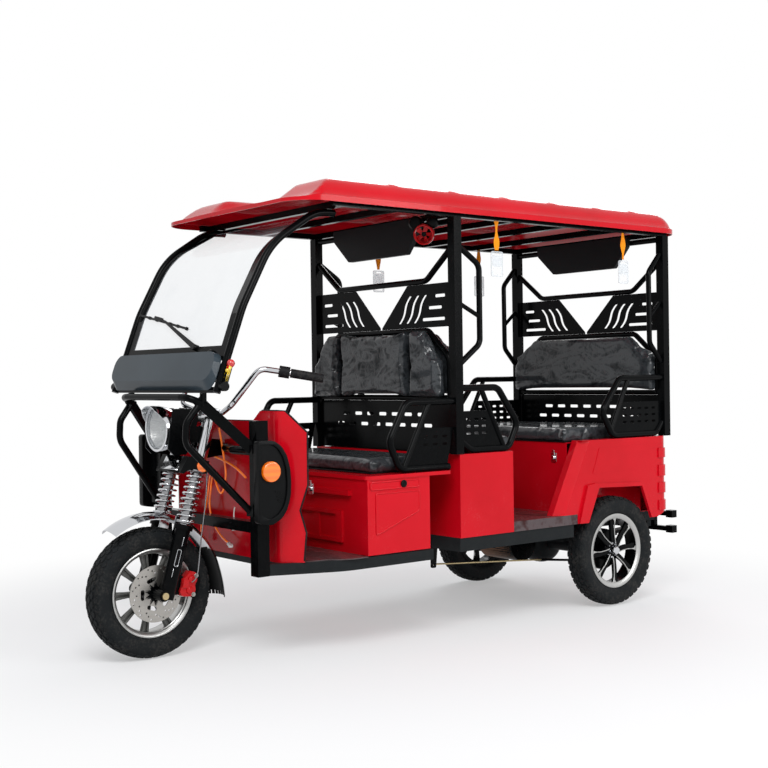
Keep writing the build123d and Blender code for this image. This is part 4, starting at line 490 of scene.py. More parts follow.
# %% [markdown]
# # Cushions
# Each seat is a slab of foam in a sewn cover with loose clear film over it. A block of the
# foam's size is chamfered and rounded, remeshed to even small faces, and then blown up as
# cloth that is cut slightly too large. The pressure crowns it, the spare cloth has nowhere to
# go and folds, and a cap keeps every point near the foam.
# %% Boxes of the solids inside one node
def solids(name):
    """(lowest corner, highest corner) of each separate solid of a node, from front to rear."""
    work = bmesh.new()
    work.from_mesh(nodes[name].data)
    bmesh.ops.remove_doubles(work, verts=work.verts, dist=1e-5)
    left, boxes = set(work.verts), []
    while left:
        stack = [left.pop()]
        low, high = stack[0].co.copy(), stack[0].co.copy()
        while stack:
            point = stack.pop()
            low = Vector(map(min, low, point.co))
            high = Vector(map(max, high, point.co))
            for edge in point.link_edges:
                other = edge.other_vert(point)
                if other in left:
                    left.remove(other)
                    stack.append(other)
        boxes.append((low, high))
    work.free()
    return sorted(boxes, key=lambda pair: (-round(pair[0].x, 3), pair[0].z, -pair[0].y))


MERGE = 1e-5


def settle(thing):
    """Puts an object's place into its mesh, as the nodes have it."""
    bpy.ops.object.select_all(action="DESELECT")
    thing.select_set(True)
    bpy.context.view_layer.objects.active = thing
    bpy.ops.object.transform_apply(location=True, rotation=True, scale=True)
    thing.select_set(False)
    return thing


def apply_modifier(thing, kind, **settings):
    """Adds one modifier, sets it and applies it."""
    bpy.context.view_layer.objects.active = thing
    made = thing.modifiers.new(kind.lower(), kind)
    for name, setting in settings.items():
        setattr(made, name, setting)
    bpy.ops.object.modifier_apply(modifier=made.name)


def block(name, low, high):
    """A box between two corners, ready to be shaped."""
    low, high = Vector(low), Vector(high)
    bpy.ops.object.select_all(action="DESELECT")
    bpy.ops.mesh.primitive_cube_add(size=1, location=(low + high) / 2)
    made = bpy.context.object
    made.name = name
    made.scale = high - low
    return settle(made)


def cut_corner(thing, point, normal):
    """Slices off what lies on the normal's side of a plane and closes the cut."""
    bpy.context.view_layer.objects.active = thing
    bpy.ops.object.mode_set(mode="EDIT")
    bpy.ops.mesh.select_all(action="SELECT")
    bpy.ops.mesh.bisect(plane_co=point, plane_no=normal, use_fill=True, clear_outer=True)
    bpy.ops.object.mode_set(mode="OBJECT")


def shown(thing, body, finish):
    """The last steps of every new piece: finish and body."""
    thing.data.materials.clear()
    thing.data.materials.append(finish)
    thing.select_set(False)
    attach(thing, body)
    return thing


print("driver's pads:", len(solids("driver_back_cushions")))

# %% [markdown]
# # Tools for the new pieces
# Turned parts, bent rods and cut plates make up nearly everything that is added below, so
# each has one helper. A lathe helper draws half a section point by point and spins it.
# %% Turned pieces
def lathe(name, section, centre, axis, steps=48):
    """Spins a closed or capped section of (radius, along) points about an axis."""
    axis = Vector(axis).normalized()
    side = axis.orthogonal().normalized()
    centre = Vector(centre)
    bpy.ops.object.select_all(action="DESELECT")
    bpy.ops.mesh.primitive_plane_add(size=0.01)
    made = bpy.context.object
    made.name = name
    bpy.ops.object.mode_set(mode="EDIT")
    bpy.ops.mesh.merge(type="CENTER")
    bpy.ops.mesh.select_all(action="SELECT")
    spots = [centre + side * radius + axis * along for radius, along in section]
    bpy.ops.transform.translate(value=spots[0])
    for start, end in zip(spots, spots[1:]):
        bpy.ops.mesh.extrude_region_move(TRANSFORM_OT_translate={"value": end - start})
    bpy.ops.mesh.select_all(action="SELECT")
    bpy.ops.mesh.spin(steps=steps, angle=2 * math.pi, center=centre, axis=axis)
    bpy.ops.mesh.select_all(action="SELECT")
    bpy.ops.mesh.remove_doubles(threshold=MERGE)
    bpy.ops.mesh.normals_make_consistent(inside=False)
    bpy.ops.object.mode_set(mode="OBJECT")
    bpy.ops.object.shade_smooth_by_angle(angle=math.radians(32))
    return made


def turned_copies(thing, count, centre, axis, name=None):
    """Copies a piece around an axis and joins the copies to it."""
    centre = Vector(centre)
    copies = [thing]
    for index in range(1, count):
        turn = (Matrix.Translation(centre) @ Matrix.Rotation(index * 2 * math.pi / count, 4, axis)
                @ Matrix.Translation(-centre))
        copies.append(moved_copy(thing, turn))
    return joined(copies, name or thing.name)


def moved_copy(thing, move, name=None):
    """A copy with its own mesh, moved by a matrix or a vector."""
    made = thing.copy()
    made.data = thing.data.copy()
    bpy.context.scene.collection.objects.link(made)
    if not isinstance(move, Matrix):
        move = Matrix.Translation(Vector(move))
    made.data.transform(move)
    if move.determinant() < 0:
        made.data.flip_normals()
    if name:
        made.name = name
    return made


def joined(things, name):
    """Several pieces made one."""
    bpy.ops.object.select_all(action="DESELECT")
    for thing in things:
        thing.select_set(True)
    bpy.context.view_layer.objects.active = things[0]
    if len(things) > 1:
        bpy.ops.object.join()
    things[0].name = name
    things[0].select_set(False)
    return things[0]


print("lathe ready")

# %% [markdown]
# A bent rod is a curve with a round bevel. A plate is a flat curve whose inner loops are its
# holes, extruded, and turned to stand where it belongs. Both are made meshes at once.
# %% Rods and plates
def to_mesh(thing):
    bpy.ops.object.select_all(action="DESELECT")
    thing.select_set(True)
    bpy.context.view_layer.objects.active = thing
    bpy.ops.object.convert(target="MESH")
    bpy.ops.object.mode_set(mode="EDIT")
    bpy.ops.mesh.select_all(action="SELECT")
    bpy.ops.mesh.remove_doubles(threshold=MERGE)
    bpy.ops.mesh.normals_make_consistent(inside=False)
    bpy.ops.object.mode_set(mode="OBJECT")
    return settle(thing)


def line_curve(name, points, radius, smooth=True, sides=3):
    """A curve through or near given points, with a round section."""
    data = bpy.data.curves.new(name, "CURVE")
    data.dimensions = "3D"
    data.bevel_depth, data.bevel_resolution, data.use_fill_caps = radius, sides, True
    data.resolution_u = 6
    spline = data.splines.new("NURBS" if smooth else "POLY")
    spline.points.add(len(points) - 1)
    for place, point in zip(spline.points, points):
        place.co = (*point, 1)
    if smooth:
        spline.order_u = 3
        spline.use_endpoint_u = True
    made = bpy.data.objects.new(name, data)
    bpy.context.scene.collection.objects.link(made)
    return made


def rod(name, points, radius, smooth=True, sides=3):
    made = to_mesh(line_curve(name, points, radius, smooth, sides))
    bpy.context.view_layer.objects.active = made
    made.select_set(True)
    bpy.ops.object.shade_smooth_by_angle(angle=math.radians(40))
    return made


def plate(name, loops, thick, place, soft=0.0008, rounds=1):
    """A sheet of metal with holes: the first loop is its outline, the rest are cut out."""
    data = bpy.data.curves.new(name, "CURVE")
    data.dimensions, data.fill_mode, data.extrude = "2D", "BOTH", thick / 2
    for loop in loops:
        spline = data.splines.new("POLY")
        spline.points.add(len(loop) - 1)
        for spot, (across, up) in zip(spline.points, loop):
            spot.co = (across, up, 0, 1)
        spline.use_cyclic_u = True
    made = bpy.data.objects.new(name, data)
    bpy.context.scene.collection.objects.link(made)
    made.matrix_world = place
    to_mesh(made)
    if soft:
        apply_modifier(made, "BEVEL", width=soft, segments=rounds, limit_method="ANGLE")
    if rounds > 1:
        bpy.context.view_layer.objects.active = made
        made.select_set(True)
        bpy.ops.object.shade_smooth_by_angle(angle=math.radians(35))
    return made


def standing(origin, across, up):
    """The place of a flat drawing: its x runs along `across`, its y along `up`."""
    across, up = Vector(across).normalized(), Vector(up).normalized()
    out = across.cross(up)
    origin = Vector(origin)
    return Matrix(((across.x, up.x, out.x, origin.x), (across.y, up.y, out.y, origin.y),
                   (across.z, up.z, out.z, origin.z), (0, 0, 0, 1)))


def seen_from_side(origin):
    """The place of a drawing of X and Z."""
    return standing(origin, (1, 0, 0), (0, 0, 1))


def seen_from_front(x):
    """The place of a drawing of Y and Z."""
    return standing((x, 0, 0), (0, 1, 0), (0, 0, 1))


def oblong(left, low, right, high):
    """A box outline, from its lower left corner."""
    return [(left, low), (right, low), (right, high), (left, high)]


def rounded(loop, radius, steps=4):
    """The same outline with its corners rounded."""
    made = []
    count = len(loop)
    for index in range(count):
        before, here, after = (Vector(loop[(index + k) % count]) for k in (-1, 0, 1))
        reach = min(radius, (before - here).length / 2.1, (after - here).length / 2.1)
        start = here + (before - here).normalized() * reach
        end = here + (after - here).normalized() * reach
        for step in range(steps + 1):
            t = step / steps
            made.append(tuple(start * (1 - t) ** 2 + here * 2 * t * (1 - t) + end * t * t))
    return made


def round_loop(centre, radius, steps=16):
    return [(centre[0] + radius * math.cos(2 * math.pi * k / steps),
             centre[1] + radius * math.sin(2 * math.pi * k / steps)) for k in range(steps)]


print("plates and rods ready")

# %% [markdown]
# A hexagon bolt is turned once with its washer and chamfered head, and then set wherever two
# parts are screwed together. The head is a six-sided cylinder whose top edge is bevelled.
# %% Bolts
def bolt(place, facing, size, finish, body="chassis", name="bolt"):
    """A hexagon head on a washer; size is half the width of the head."""
    facing = Vector(facing).normalized()
    spin = facing.to_track_quat("Z", "Y").to_matrix().to_4x4()
    bpy.ops.object.select_all(action="DESELECT")
    bpy.ops.mesh.primitive_cylinder_add(vertices=6, radius=size, depth=size * 0.8,
                                        location=(0, 0, size * 0.5))
    head = bpy.context.object
    settle(head)
    apply_modifier(head, "BEVEL", width=size * 0.14, segments=2, limit_method="ANGLE")
    bpy.ops.mesh.primitive_cylinder_add(vertices=24, radius=size * 1.45, depth=size * 0.2,
                                        location=(0, 0, size * 0.05))
    washer = bpy.context.object
    settle(washer)
    apply_modifier(washer, "BEVEL", width=size * 0.06, segments=1, limit_method="ANGLE")
    made = joined([head, washer], name)
    made.data.transform(Matrix.Translation(Vector(place)) @ spin)
    return shown(made, body, finish)


print("bolts ready")

# %% [markdown]
# # Wiring
# Loose wires are free curves of a real length. Orange sleeves come down behind the headlight,
# loop once beside the fork, and end in white connectors. The thin brake hose drops straight
# to the caliper. Each is one open NURBS line with a few given points.
# %% Connectors
def connector(name, place, down, body):
    """A small white plug housing with a latch and a rim."""
    down = Vector(down).normalized()
    spin = down.to_track_quat("X", "Z").to_matrix().to_4x4()
    housing = block(name, (0, -0.0075, -0.005), (0.026, 0.0075, 0.005))
    apply_modifier(housing, "BEVEL", width=0.0012, segments=2, limit_method="ANGLE")
    collar = block("collar", (0.017, -0.0088, -0.0063), (0.021, 0.0088, 0.0063))
    apply_modifier(collar, "BEVEL", width=0.0008, segments=1, limit_method="ANGLE")
    latch = block("latch", (0.003, -0.0025, 0.0045), (0.016, 0.0025, 0.0075))
    apply_modifier(latch, "BEVEL", width=0.0008, segments=1, limit_method="ANGLE")
    made = joined([housing, collar, latch], name)
    made.data.transform(Matrix.Translation(Vector(place)) @ spin)
    return shown(made, body, connector_white)


def wire(name, points, thick, finish, body):
    """A free cord along given points."""
    made = line_curve(name, points, thick / 2, sides=3)
    made.data.materials.append(finish)
    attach(made, body)
    bare = line_curve("measure", points, 0)
    bare.data.use_fill_caps = False
    flat = bpy.data.meshes.new_from_object(bare)
    bpy.data.objects.remove(bare)
    run = sum((flat.vertices[e.vertices[0]].co - flat.vertices[e.vertices[1]].co).length
              for e in flat.edges)
    print(name, "length:", round(run * 1000), "mm")
    return made


print("wire helpers ready")

# %% [markdown]
# The points of each line are listed along the photo's routes. The hose turns with
# the fork, so it rides on the steering.
# %% Orange sleeves and hose
MAIN_LINE = [(0.866, 0.03, 0.85), (0.864, 0.034, 0.83), (0.862, 0.043, 0.79),
             (0.86, 0.055, 0.73), (0.856, 0.062, 0.68), (0.8538, 0.05, 0.632),
             (0.8547, 0.036, 0.603), (0.8558, 0.018, 0.592), (0.8538, -0.006, 0.612),
             (0.8505, -0.03, 0.645), (0.8506, -0.045, 0.664), (0.851, -0.058, 0.64),
             (0.856, -0.06, 0.59), (0.86, -0.062, 0.55), (0.86, -0.052, 0.5),
             (0.86, -0.01, 0.452), (0.862, 0.045, 0.42), (0.862, 0.081, 0.408)]
BRANCH_LINE = [(0.866, -0.1, 0.79), (0.864, -0.085, 0.775), (0.862, -0.058, 0.752),
               (0.86, -0.013, 0.735), (0.86, 0.047, 0.726), (0.858, 0.113, 0.709),
               (0.856, 0.16, 0.69), (0.85, 0.195, 0.665)]
SECOND_LINE = [(0.862, -0.05, 0.66), (0.861, -0.062, 0.63), (0.86, -0.075, 0.57),
               (0.86, -0.095, 0.52), (0.86, -0.12, 0.485), (0.86, -0.13, 0.45),
               (0.86, -0.128, 0.42)]
HOSE_LINE = [(0.962, 0.1, 0.69), (0.965, 0.104, 0.665), (0.972, 0.111, 0.62),
             (0.98, 0.117, 0.57), (0.992, 0.121, 0.51), (1.004, 0.121, 0.44),
             (1.011, 0.119, 0.37), (1.016, 0.114, 0.31), (1.024, 0.105, 0.285),
             (1.032, 0.096, 0.28)]
plug_main = connector("connector_main", (0.862, 0.081, 0.408), (0.0, 0.9, -0.45), "chassis")
wire("wire_main", MAIN_LINE, 0.0075, orange_sleeve, "chassis")
plug_second = connector("connector_second", (0.86, -0.128, 0.42), (0, 0.05, -1), "chassis")
wire("wire_second", SECOND_LINE, 0.006, orange_sleeve, "chassis")
wire("wire_branch", BRANCH_LINE, 0.0085, orange_sleeve, "chassis")
wire("brake_hose", HOSE_LINE, 0.005, dull_chrome, "steering")
plug_hanging = connector("connector_hanging", (0.862, 0.128, 0.485), (0.05, -0.15, -1), "chassis")
HANGING_LINE = [(0.842, 0.1, 0.545), (0.848, 0.106, 0.538), (0.856, 0.115, 0.525),
                (0.861, 0.123, 0.508), (0.862, 0.128, 0.485)]
wire("wire_hanging", HANGING_LINE, 0.005, connector_white, "chassis")

# %% [markdown]
# # Canopy
# The canopy is one pressed shell: a flanged lip, a crease just above it, rounded shoulders,
# two raised shoulders that end above the windshield, and low ribs across the top. A grid is
# laid out in plan with round corners, every point is lifted to the pressed height, the
# boundary is drawn down for the lip, and Solidify gives the shell its thickness.
# %% Height of the shell
ROOF_FRONT, ROOF_REAR, ROOF_HALF = 0.812, -1.365, 0.522
LIP_Z = 1.684
ROOF_CORNER = 0.13
RIB_PLACES = (0.33, 0.02, -0.26, -0.54, -0.82, -1.06)


def eased(value, low, high):
    """0 below low, 1 above high, smooth between."""
    t = min(1.0, max(0.0, (value - low) / (high - low)))
    return t * t * (3 - 2 * t)


def lesser(first, second, soft):
    """The smaller of two heights, with the corner between them rounded."""
    share = max(soft - abs(first - second), 0) / soft
    return min(first, second) - share * share * soft / 4


def roof_height(x, y, from_side):
    """How far the pressed shell stands above its lip."""
    crown = 0.1 + 0.003 * (1 - (y / ROOF_HALF) ** 2)
    side = 0.022 + 0.004 * min(from_side / 0.01, 1)
    side += 0.078 * (1 - math.exp(-max(from_side - 0.01, 0) / 0.026))
    ahead = ROOF_FRONT - x
    valley = 0.014 + 0.084 * eased(ahead, -0.12, 0.44) - 0.008
    ridge = 0.014 + 0.09 * eased(ahead, 0.035, 0.2)
    shoulder = eased(abs(y), 0.2, 0.27)
    front = valley + (ridge - valley) * max(shoulder, eased(ahead, 0.45, 0.6))
    behind = x - ROOF_REAR
    rear = 0.018 + 0.088 * eased(behind, -0.02, 0.17)
    height = lesser(lesser(min(side, crown), front, 0.012), rear, 0.02)
    rib = max(math.exp(-((x - place) / 0.026) ** 4) for place in RIB_PLACES)
    rib *= eased(abs(y), 0.16, 0.22) * (1 - eased(abs(y), 0.43, 0.49))
    return min(height + 0.0075 * rib, 0.1105)


print("crown:", round(roof_height(0, 0, 0.5) * 1000), "mm above the lip")

# %% [markdown]
# The flat grid is bent over those heights. Its corners are rounded in plan by moving each
# point of a corner square onto an arc, so the rows of faces run around the corner.
# %% Pressed shell
bpy.ops.object.select_all(action="DESELECT")
bpy.ops.mesh.primitive_grid_add(x_subdivisions=150, y_subdivisions=72, size=2)
roof = bpy.context.object
roof.name = "roof_pressing"
half_x, middle_x = (ROOF_FRONT - ROOF_REAR) / 2, (ROOF_FRONT + ROOF_REAR) / 2
for point in roof.data.vertices:
    u = point.co.x
    v = math.copysign(1 - (1 - abs(point.co.y)) ** 1.35, point.co.y)
    x, y = u * half_x, v * ROOF_HALF
    over_x = abs(x) - (half_x - ROOF_CORNER)
    over_y = abs(y) - (ROOF_HALF - ROOF_CORNER)
    if over_x > 0 and over_y > 0:
        a, b = over_x / ROOF_CORNER, over_y / ROOF_CORNER
        round_a, round_b = a * math.sqrt(1 - b * b / 2), b * math.sqrt(1 - a * a / 2)
        x = math.copysign(half_x - ROOF_CORNER * (1 - round_a), x)
        y = math.copysign(ROOF_HALF - ROOF_CORNER * (1 - round_b), y)
        edge = ROOF_CORNER * (1 - math.hypot(round_a, round_b))
    else:
        edge = min(half_x - abs(x), ROOF_HALF - abs(y))
    from_side = edge if over_x > 0 and over_y > 0 else ROOF_HALF - abs(y)
    point.co = (x + middle_x, y, LIP_Z + roof_height(x + middle_x, y, from_side))
bpy.ops.object.mode_set(mode="EDIT")
bpy.ops.mesh.select_all(action="SELECT")
bpy.ops.mesh.region_to_loop()
bpy.ops.mesh.extrude_region_move(TRANSFORM_OT_translate={"value": (0, 0, -0.01)})
rim_height = bmesh.from_edit_mesh(roof.data)
for point in rim_height.verts:
    if point.select:
        point.co.z = LIP_Z
bmesh.update_edit_mesh(roof.data)
bpy.ops.mesh.select_all(action="SELECT")
bpy.ops.mesh.normals_make_consistent(inside=False)
bpy.ops.object.mode_set(mode="OBJECT")
apply_modifier(roof, "SOLIDIFY", thickness=0.0035, offset=-1, use_even_offset=False)
roof.select_set(True)
bpy.ops.object.shade_smooth_by_angle(angle=math.radians(38))
shown(roof, "chassis", red_paint)
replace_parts(roof, "roof_shell")
print("roof:", len(roof.data.polygons), "faces")

# %% [markdown]
# # Wheels
# A tyre is turned from half of its section. Its blocks stand in five staggered rows: one
# block of each row is a six-sided cylinder whose top is made smaller, tipped to the curve
# of the tread, and then copied around the axle.
# %% Tyres
BEAD = [(0.152, -0.0317), (0.167, -0.0317), (0.1715, -0.0375), (0.176, -0.0405),
        (0.178, -0.0425), (0.182, -0.044), (0.184, -0.0445), (0.2, -0.0485),
        (0.214, -0.0482), (0.224, -0.0455), (0.23, -0.041), (0.2345, -0.034),
        (0.2385, -0.02), (0.2395, -0.008)]
SECTION = BEAD + [(radius, -along) for radius, along in reversed(BEAD)] + [BEAD[0]]
ROWS = [  # place across, radius of the block's foot, tip in degrees, half length, half width
    (0.0, 0.2385, 0, 0.0165, 0.0105), (0.0195, 0.2375, 7, 0.0165, 0.0095),
    (0.0375, 0.2312, 37, 0.0145, 0.0085)]
BLOCKS = 44
FRONT_SPOKES, SPOKES = 9, 8


def tread_row(across, foot, tip, half_length, half_width, phase):
    """One row of tread blocks around the front wheel."""
    bpy.ops.object.select_all(action="DESELECT")
    bpy.ops.mesh.primitive_cylinder_add(vertices=6, radius=1, depth=0.008)
    made = bpy.context.object
    made.scale = (half_length, half_width, 1)
    settle(made)
    for point in made.data.vertices:
        if point.co.z > 0:
            point.co.x *= 0.86
            point.co.y *= 0.84
    stand = Matrix.Rotation(math.radians(phase), 4, "Y")
    stand = stand @ Matrix.Translation((0, across, foot + 0.001))
    stand = stand @ Matrix.Rotation(-math.copysign(math.radians(tip), across), 4, "X")
    made.data.transform(Matrix.Translation(AXLE) @ stand)
    return turned_copies(made, BLOCKS, AXLE, "Y")


carcass = lathe("front_tyre_tread", SECTION, AXLE, (0, 1, 0), 96)
rows = []
for number, row in enumerate(ROWS):
    for side in ((1, -1) if number else (1,)):
        phase = 180 / BLOCKS * (number % 2)
        rows.append(tread_row(row[0] * side, *row[1:], phase))
front_tyre = joined([carcass] + rows, "front_tyre_tread")
shown(front_tyre, "front_wheel", tyre_rubber)
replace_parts(front_tyre, "front_tyre")
REAR_SHIFT = {"left": Vector((-WHEELBASE, WHEEL_Y, 0)),
              "right": Vector((-WHEELBASE, -WHEEL_Y, 0))}
for side_name, shift in REAR_SHIFT.items():
    tyre = moved_copy(front_tyre, shift, "rear_tyre_tread_" + side_name)
    tyre["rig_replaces"] = []
    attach(tyre, "rear_wheel_" + side_name)
    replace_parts(tyre, "rear_tyre_" + side_name)
print("tyre triangles:", sum(len(f.vertices) - 2 for f in front_tyre.data.polygons))

# %% [markdown]
# The front rim has a broad stepped lip, machined bright, and nine grey spokes, each a flat
# web with two raised ribs. One spoke is cut from plate and copied around the black hub.
# %% Front rim
def front_wheel_piece(thing, name, finish):
    thing.name = name
    shown(thing, "front_wheel", finish)
    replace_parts(thing, "front_rim")
    return thing


FRONT_LIP = [(0.1655, 0.033), (0.1655, 0.036), (0.161, 0.037), (0.156, 0.035), (0.151, 0.031),
             (0.1505, 0.024), (0.1465, 0.021), (0.145, 0.012), (0.145, -0.028), (0.15, -0.036),
             (0.1655, -0.036), (0.1515, -0.032), (0.1515, 0.03), (0.1655, 0.033)]
FRONT_HUB = [(0.0085, -0.05), (0.03, -0.05), (0.042, -0.04), (0.042, -0.008), (0.046, -0.006),
             (0.046, 0.012), (0.042, 0.014), (0.042, 0.044), (0.036, 0.05), (0.0085, 0.05),
             (0.0085, -0.05)]
WEB = [(0.038, -0.0095), (0.1, -0.0115), (0.1462, -0.0155), (0.1462, 0.0155), (0.1, 0.0115),
       (0.038, 0.0095)]
RIB = [(0.038, 0.003), (0.1, 0.0035), (0.146, 0.005), (0.146, 0.0145), (0.1, 0.0105),
       (0.038, 0.0085)]
front_wheel_piece(lathe("lip", FRONT_LIP, AXLE, (0, 1, 0), 96), "front_rim_lip", alloy)
front_wheel_piece(lathe("hub", FRONT_HUB, AXLE, (0, 1, 0), 48), "front_rim_hub", black_paint)
web = plate("web", [WEB], 0.012, seen_from_side(AXLE + Vector((0, 0.003, 0))), 0.002)
ribs = [web]
for side in (1, -1):
    ribs.append(plate("rib", [[(across, side * up) for across, up in RIB]], 0.008,
                      seen_from_side(AXLE + Vector((0, 0.012, 0))), 0.0018))
spoke = joined(ribs, "spoke")
front_wheel_piece(turned_copies(spoke, FRONT_SPOKES, AXLE, "Y"), "front_rim_spokes", spoke_grey)
print("front rim ready")

# %% [markdown]
# The rear rims are black castings that were machined after painting, so their lip and the
# edge of every spoke are bright. The lip is turned, one spoke is a cut plate, and its bright
# edge is a second, thinner blade that flares into the lip.
# %% Rear rims
def rear_wheel_piece(thing, name, finish):
    """Shows a piece made for the left wheel on both sides."""
    for side_name, shift in REAR_SHIFT.items():
        move = Matrix.Translation(shift)
        if side_name == "right":
            move = move @ Matrix.Diagonal((1, -1, 1, 1))
        made = moved_copy(thing, move, f"{name}_{side_name}")
        shown(made, "rear_wheel_" + side_name, finish)
        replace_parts(made, "rear_rim_" + side_name)
    bpy.data.objects.remove(thing)


LIP = [(0.1655, 0.033), (0.1655, 0.036), (0.16, 0.0365), (0.147, 0.0325), (0.1435, 0.029),
       (0.1435, 0.026), (0.151, 0.026), (0.1655, 0.033)]
BARREL = [(0.1655, -0.036), (0.1517, -0.033), (0.1515, 0.0265), (0.1435, 0.0265),
          (0.144, -0.02), (0.146, -0.036), (0.1655, -0.036)]
HUB = [(0, 0.012), (0.043, 0.012), (0.046, 0.008), (0.048, -0.035), (0.09, -0.036),
       (0.092, -0.04), (0.092, -0.07), (0.084, -0.073), (0, -0.073)]
SPOKE = [(0.036, -0.013), (0.07, -0.017), (0.11, -0.02), (0.147, -0.024), (0.147, 0.004),
         (0.11, 0.001), (0.07, 0.004), (0.036, 0.012)]
EDGE = [(0.03, 0.0075), (0.06, 0.002), (0.09, -0.0005), (0.118, 0.001), (0.134, 0.0),
        (0.147, -0.013), (0.147, 0.022), (0.138, 0.0105), (0.118, 0.0052), (0.09, 0.0035),
        (0.06, 0.006), (0.03, 0.0115)]
rear_wheel_piece(lathe("lip", LIP, AXLE, (0, 1, 0), 96), "rear_rim_lip", alloy)
rear_wheel_piece(lathe("barrel", BARREL, AXLE, (0, 1, 0), 96), "rear_rim_barrel",
                 black_paint)
rear_wheel_piece(lathe("hub", HUB, AXLE, (0, 1, 0), 48), "rear_rim_hub", black_paint)
blade = plate("spoke", [SPOKE], 0.013, seen_from_side(AXLE + Vector((0, 0.0155, 0))), 0.002)
rear_wheel_piece(turned_copies(blade, SPOKES, AXLE, "Y"), "rear_rim_spokes", black_paint)
edge = plate("edge", [EDGE], 0.004, seen_from_side(AXLE + Vector((0, 0.0245, 0))), 0.0012)
rear_wheel_piece(turned_copies(edge, SPOKES, AXLE, "Y"), "rear_rim_edges", alloy)
CAP = [(0, 0.0442), (0.01, 0.044), (0.016, 0.0425), (0.0205, 0.038), (0.0225, 0.031),
       (0.0235, 0.0115), (0, 0.0115)]
rear_wheel_piece(lathe("cap", CAP, AXLE, (0, 1, 0), 6), "hub_cap", chrome)
nut = bolt(AXLE + Vector((0.034, 0.012, 0)), (0, 1, 0), 0.0055, chrome, "rear_wheel_left", "nut")
nuts = turned_copies(nut, SPOKES, AXLE, "Y")
rear_wheel_piece(nuts, "wheel_nuts", chrome)
print("rear rims ready")

# %% [markdown]
# # Fork
# The engineered springs are replaced by open coils of bright wire around a dark damper tube.
# A coil is one short tube section swept round and up: here its path is written point by
# point, two dozen to a turn, and made a mesh.
# %% Fork line
frame_lean = math.radians(16.8)
FORK_UP = Vector((-math.sin(frame_lean), 0, math.cos(frame_lean)))
FORK_AHEAD = Vector((math.cos(frame_lean), 0, math.sin(frame_lean)))
AXLE_LEAD = 0.065
FORK_ZERO = Vector((AXLE.x - AXLE_LEAD / math.cos(frame_lean), 0, AXLE.z))


def in_fork(ahead, across, up):
    """A point given along the fork's own axes."""
    return FORK_ZERO + FORK_AHEAD * ahead + Vector((0, across, 0)) + FORK_UP * up


LEG_AHEAD, LEG_ACROSS = 0.042, 0.094
COIL_LOW, COIL_HIGH, COIL_TURNS = 0.26, 0.452, 9
COIL_STEPS, COIL_RADIUS = 24, 0.0325
print("fork leans", round(math.degrees(frame_lean), 1), "degrees")

# %% [markdown]
# The damper inside each coil is turned in one piece with the seats at the coil's ends.
# %% Coil springs
def coil(side):
    """One spring of evenly spaced open turns, and the damper inside it."""
    path = []
    for step in range(COIL_TURNS * COIL_STEPS + 1):
        share = step / (COIL_TURNS * COIL_STEPS)
        rise = COIL_LOW + (COIL_HIGH - COIL_LOW) * share
        turn = 2 * math.pi * step / COIL_STEPS
        path.append(in_fork(LEG_AHEAD + COIL_RADIUS * math.cos(turn),
                            side * LEG_ACROSS + COIL_RADIUS * math.sin(turn), rise))
    made = rod("fork_coil", path, 0.0036, smooth=False, sides=2)
    shown(made, "steering", chrome)
    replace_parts(made, "fork_springs")
    tube = lathe("fork_damper", [(0, COIL_LOW - 0.008), (0.03, COIL_LOW - 0.008),
                                 (0.0345, COIL_LOW - 0.005), (0.0345, COIL_LOW - 0.001),
                                 (0.021, COIL_LOW + 0.004), (0.019, COIL_LOW + 0.05),
                                 (0.0185, COIL_HIGH - 0.006), (0.034, COIL_HIGH),
                                 (0.034, COIL_HIGH + 0.005), (0, COIL_HIGH + 0.005)],
                 in_fork(LEG_AHEAD, side * LEG_ACROSS, 0), FORK_UP, 40)
    shown(tube, "steering", dull_chrome)
    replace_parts(tube, "fork_springs")


for side in (1, -1):
    coil(side)

# %% [markdown]
# Each lower leg carries a slotted reflector: a rounded frame of bright trim around a dark
# panel, with a bright line above and below it.
# %% Leg reflectors
def leg_plate(name, ahead, up, loops, thick, out, finish, side):
    middle = in_fork(LEG_AHEAD + ahead, side * (LEG_ACROSS + out), up)
    made = plate(name, loops, thick, standing(middle, -FORK_AHEAD * side, FORK_UP), 0.0004)
    return shown(made, "steering", finish)


frame_loop = rounded(oblong(-0.009, -0.032, 0.009, 0.032), 0.006)
inner_loop = rounded(oblong(-0.0072, -0.0302, 0.0072, 0.0302), 0.005)
for side in (1, -1):
    leg_plate("leg_trim", 0.008, 0.125, [frame_loop, inner_loop], 0.002, 0.0285, chrome, side)
    leg_plate("leg_panel", 0.008, 0.125, [inner_loop], 0.002, 0.0278, black_plastic, side)
    for low, high, ahead in ((0.17, 0.205, 0.003), (0.052, 0.084, 0.014)):
        bar = [(-0.0009, low - 0.125), (0.0009, low - 0.125), (0.0009, high - 0.125),
               (-0.0009, high - 0.125)]
        leg_plate("leg_line", ahead, 0.125, [bar], 0.002, 0.0282, chrome, side)
print("leg trims ready")
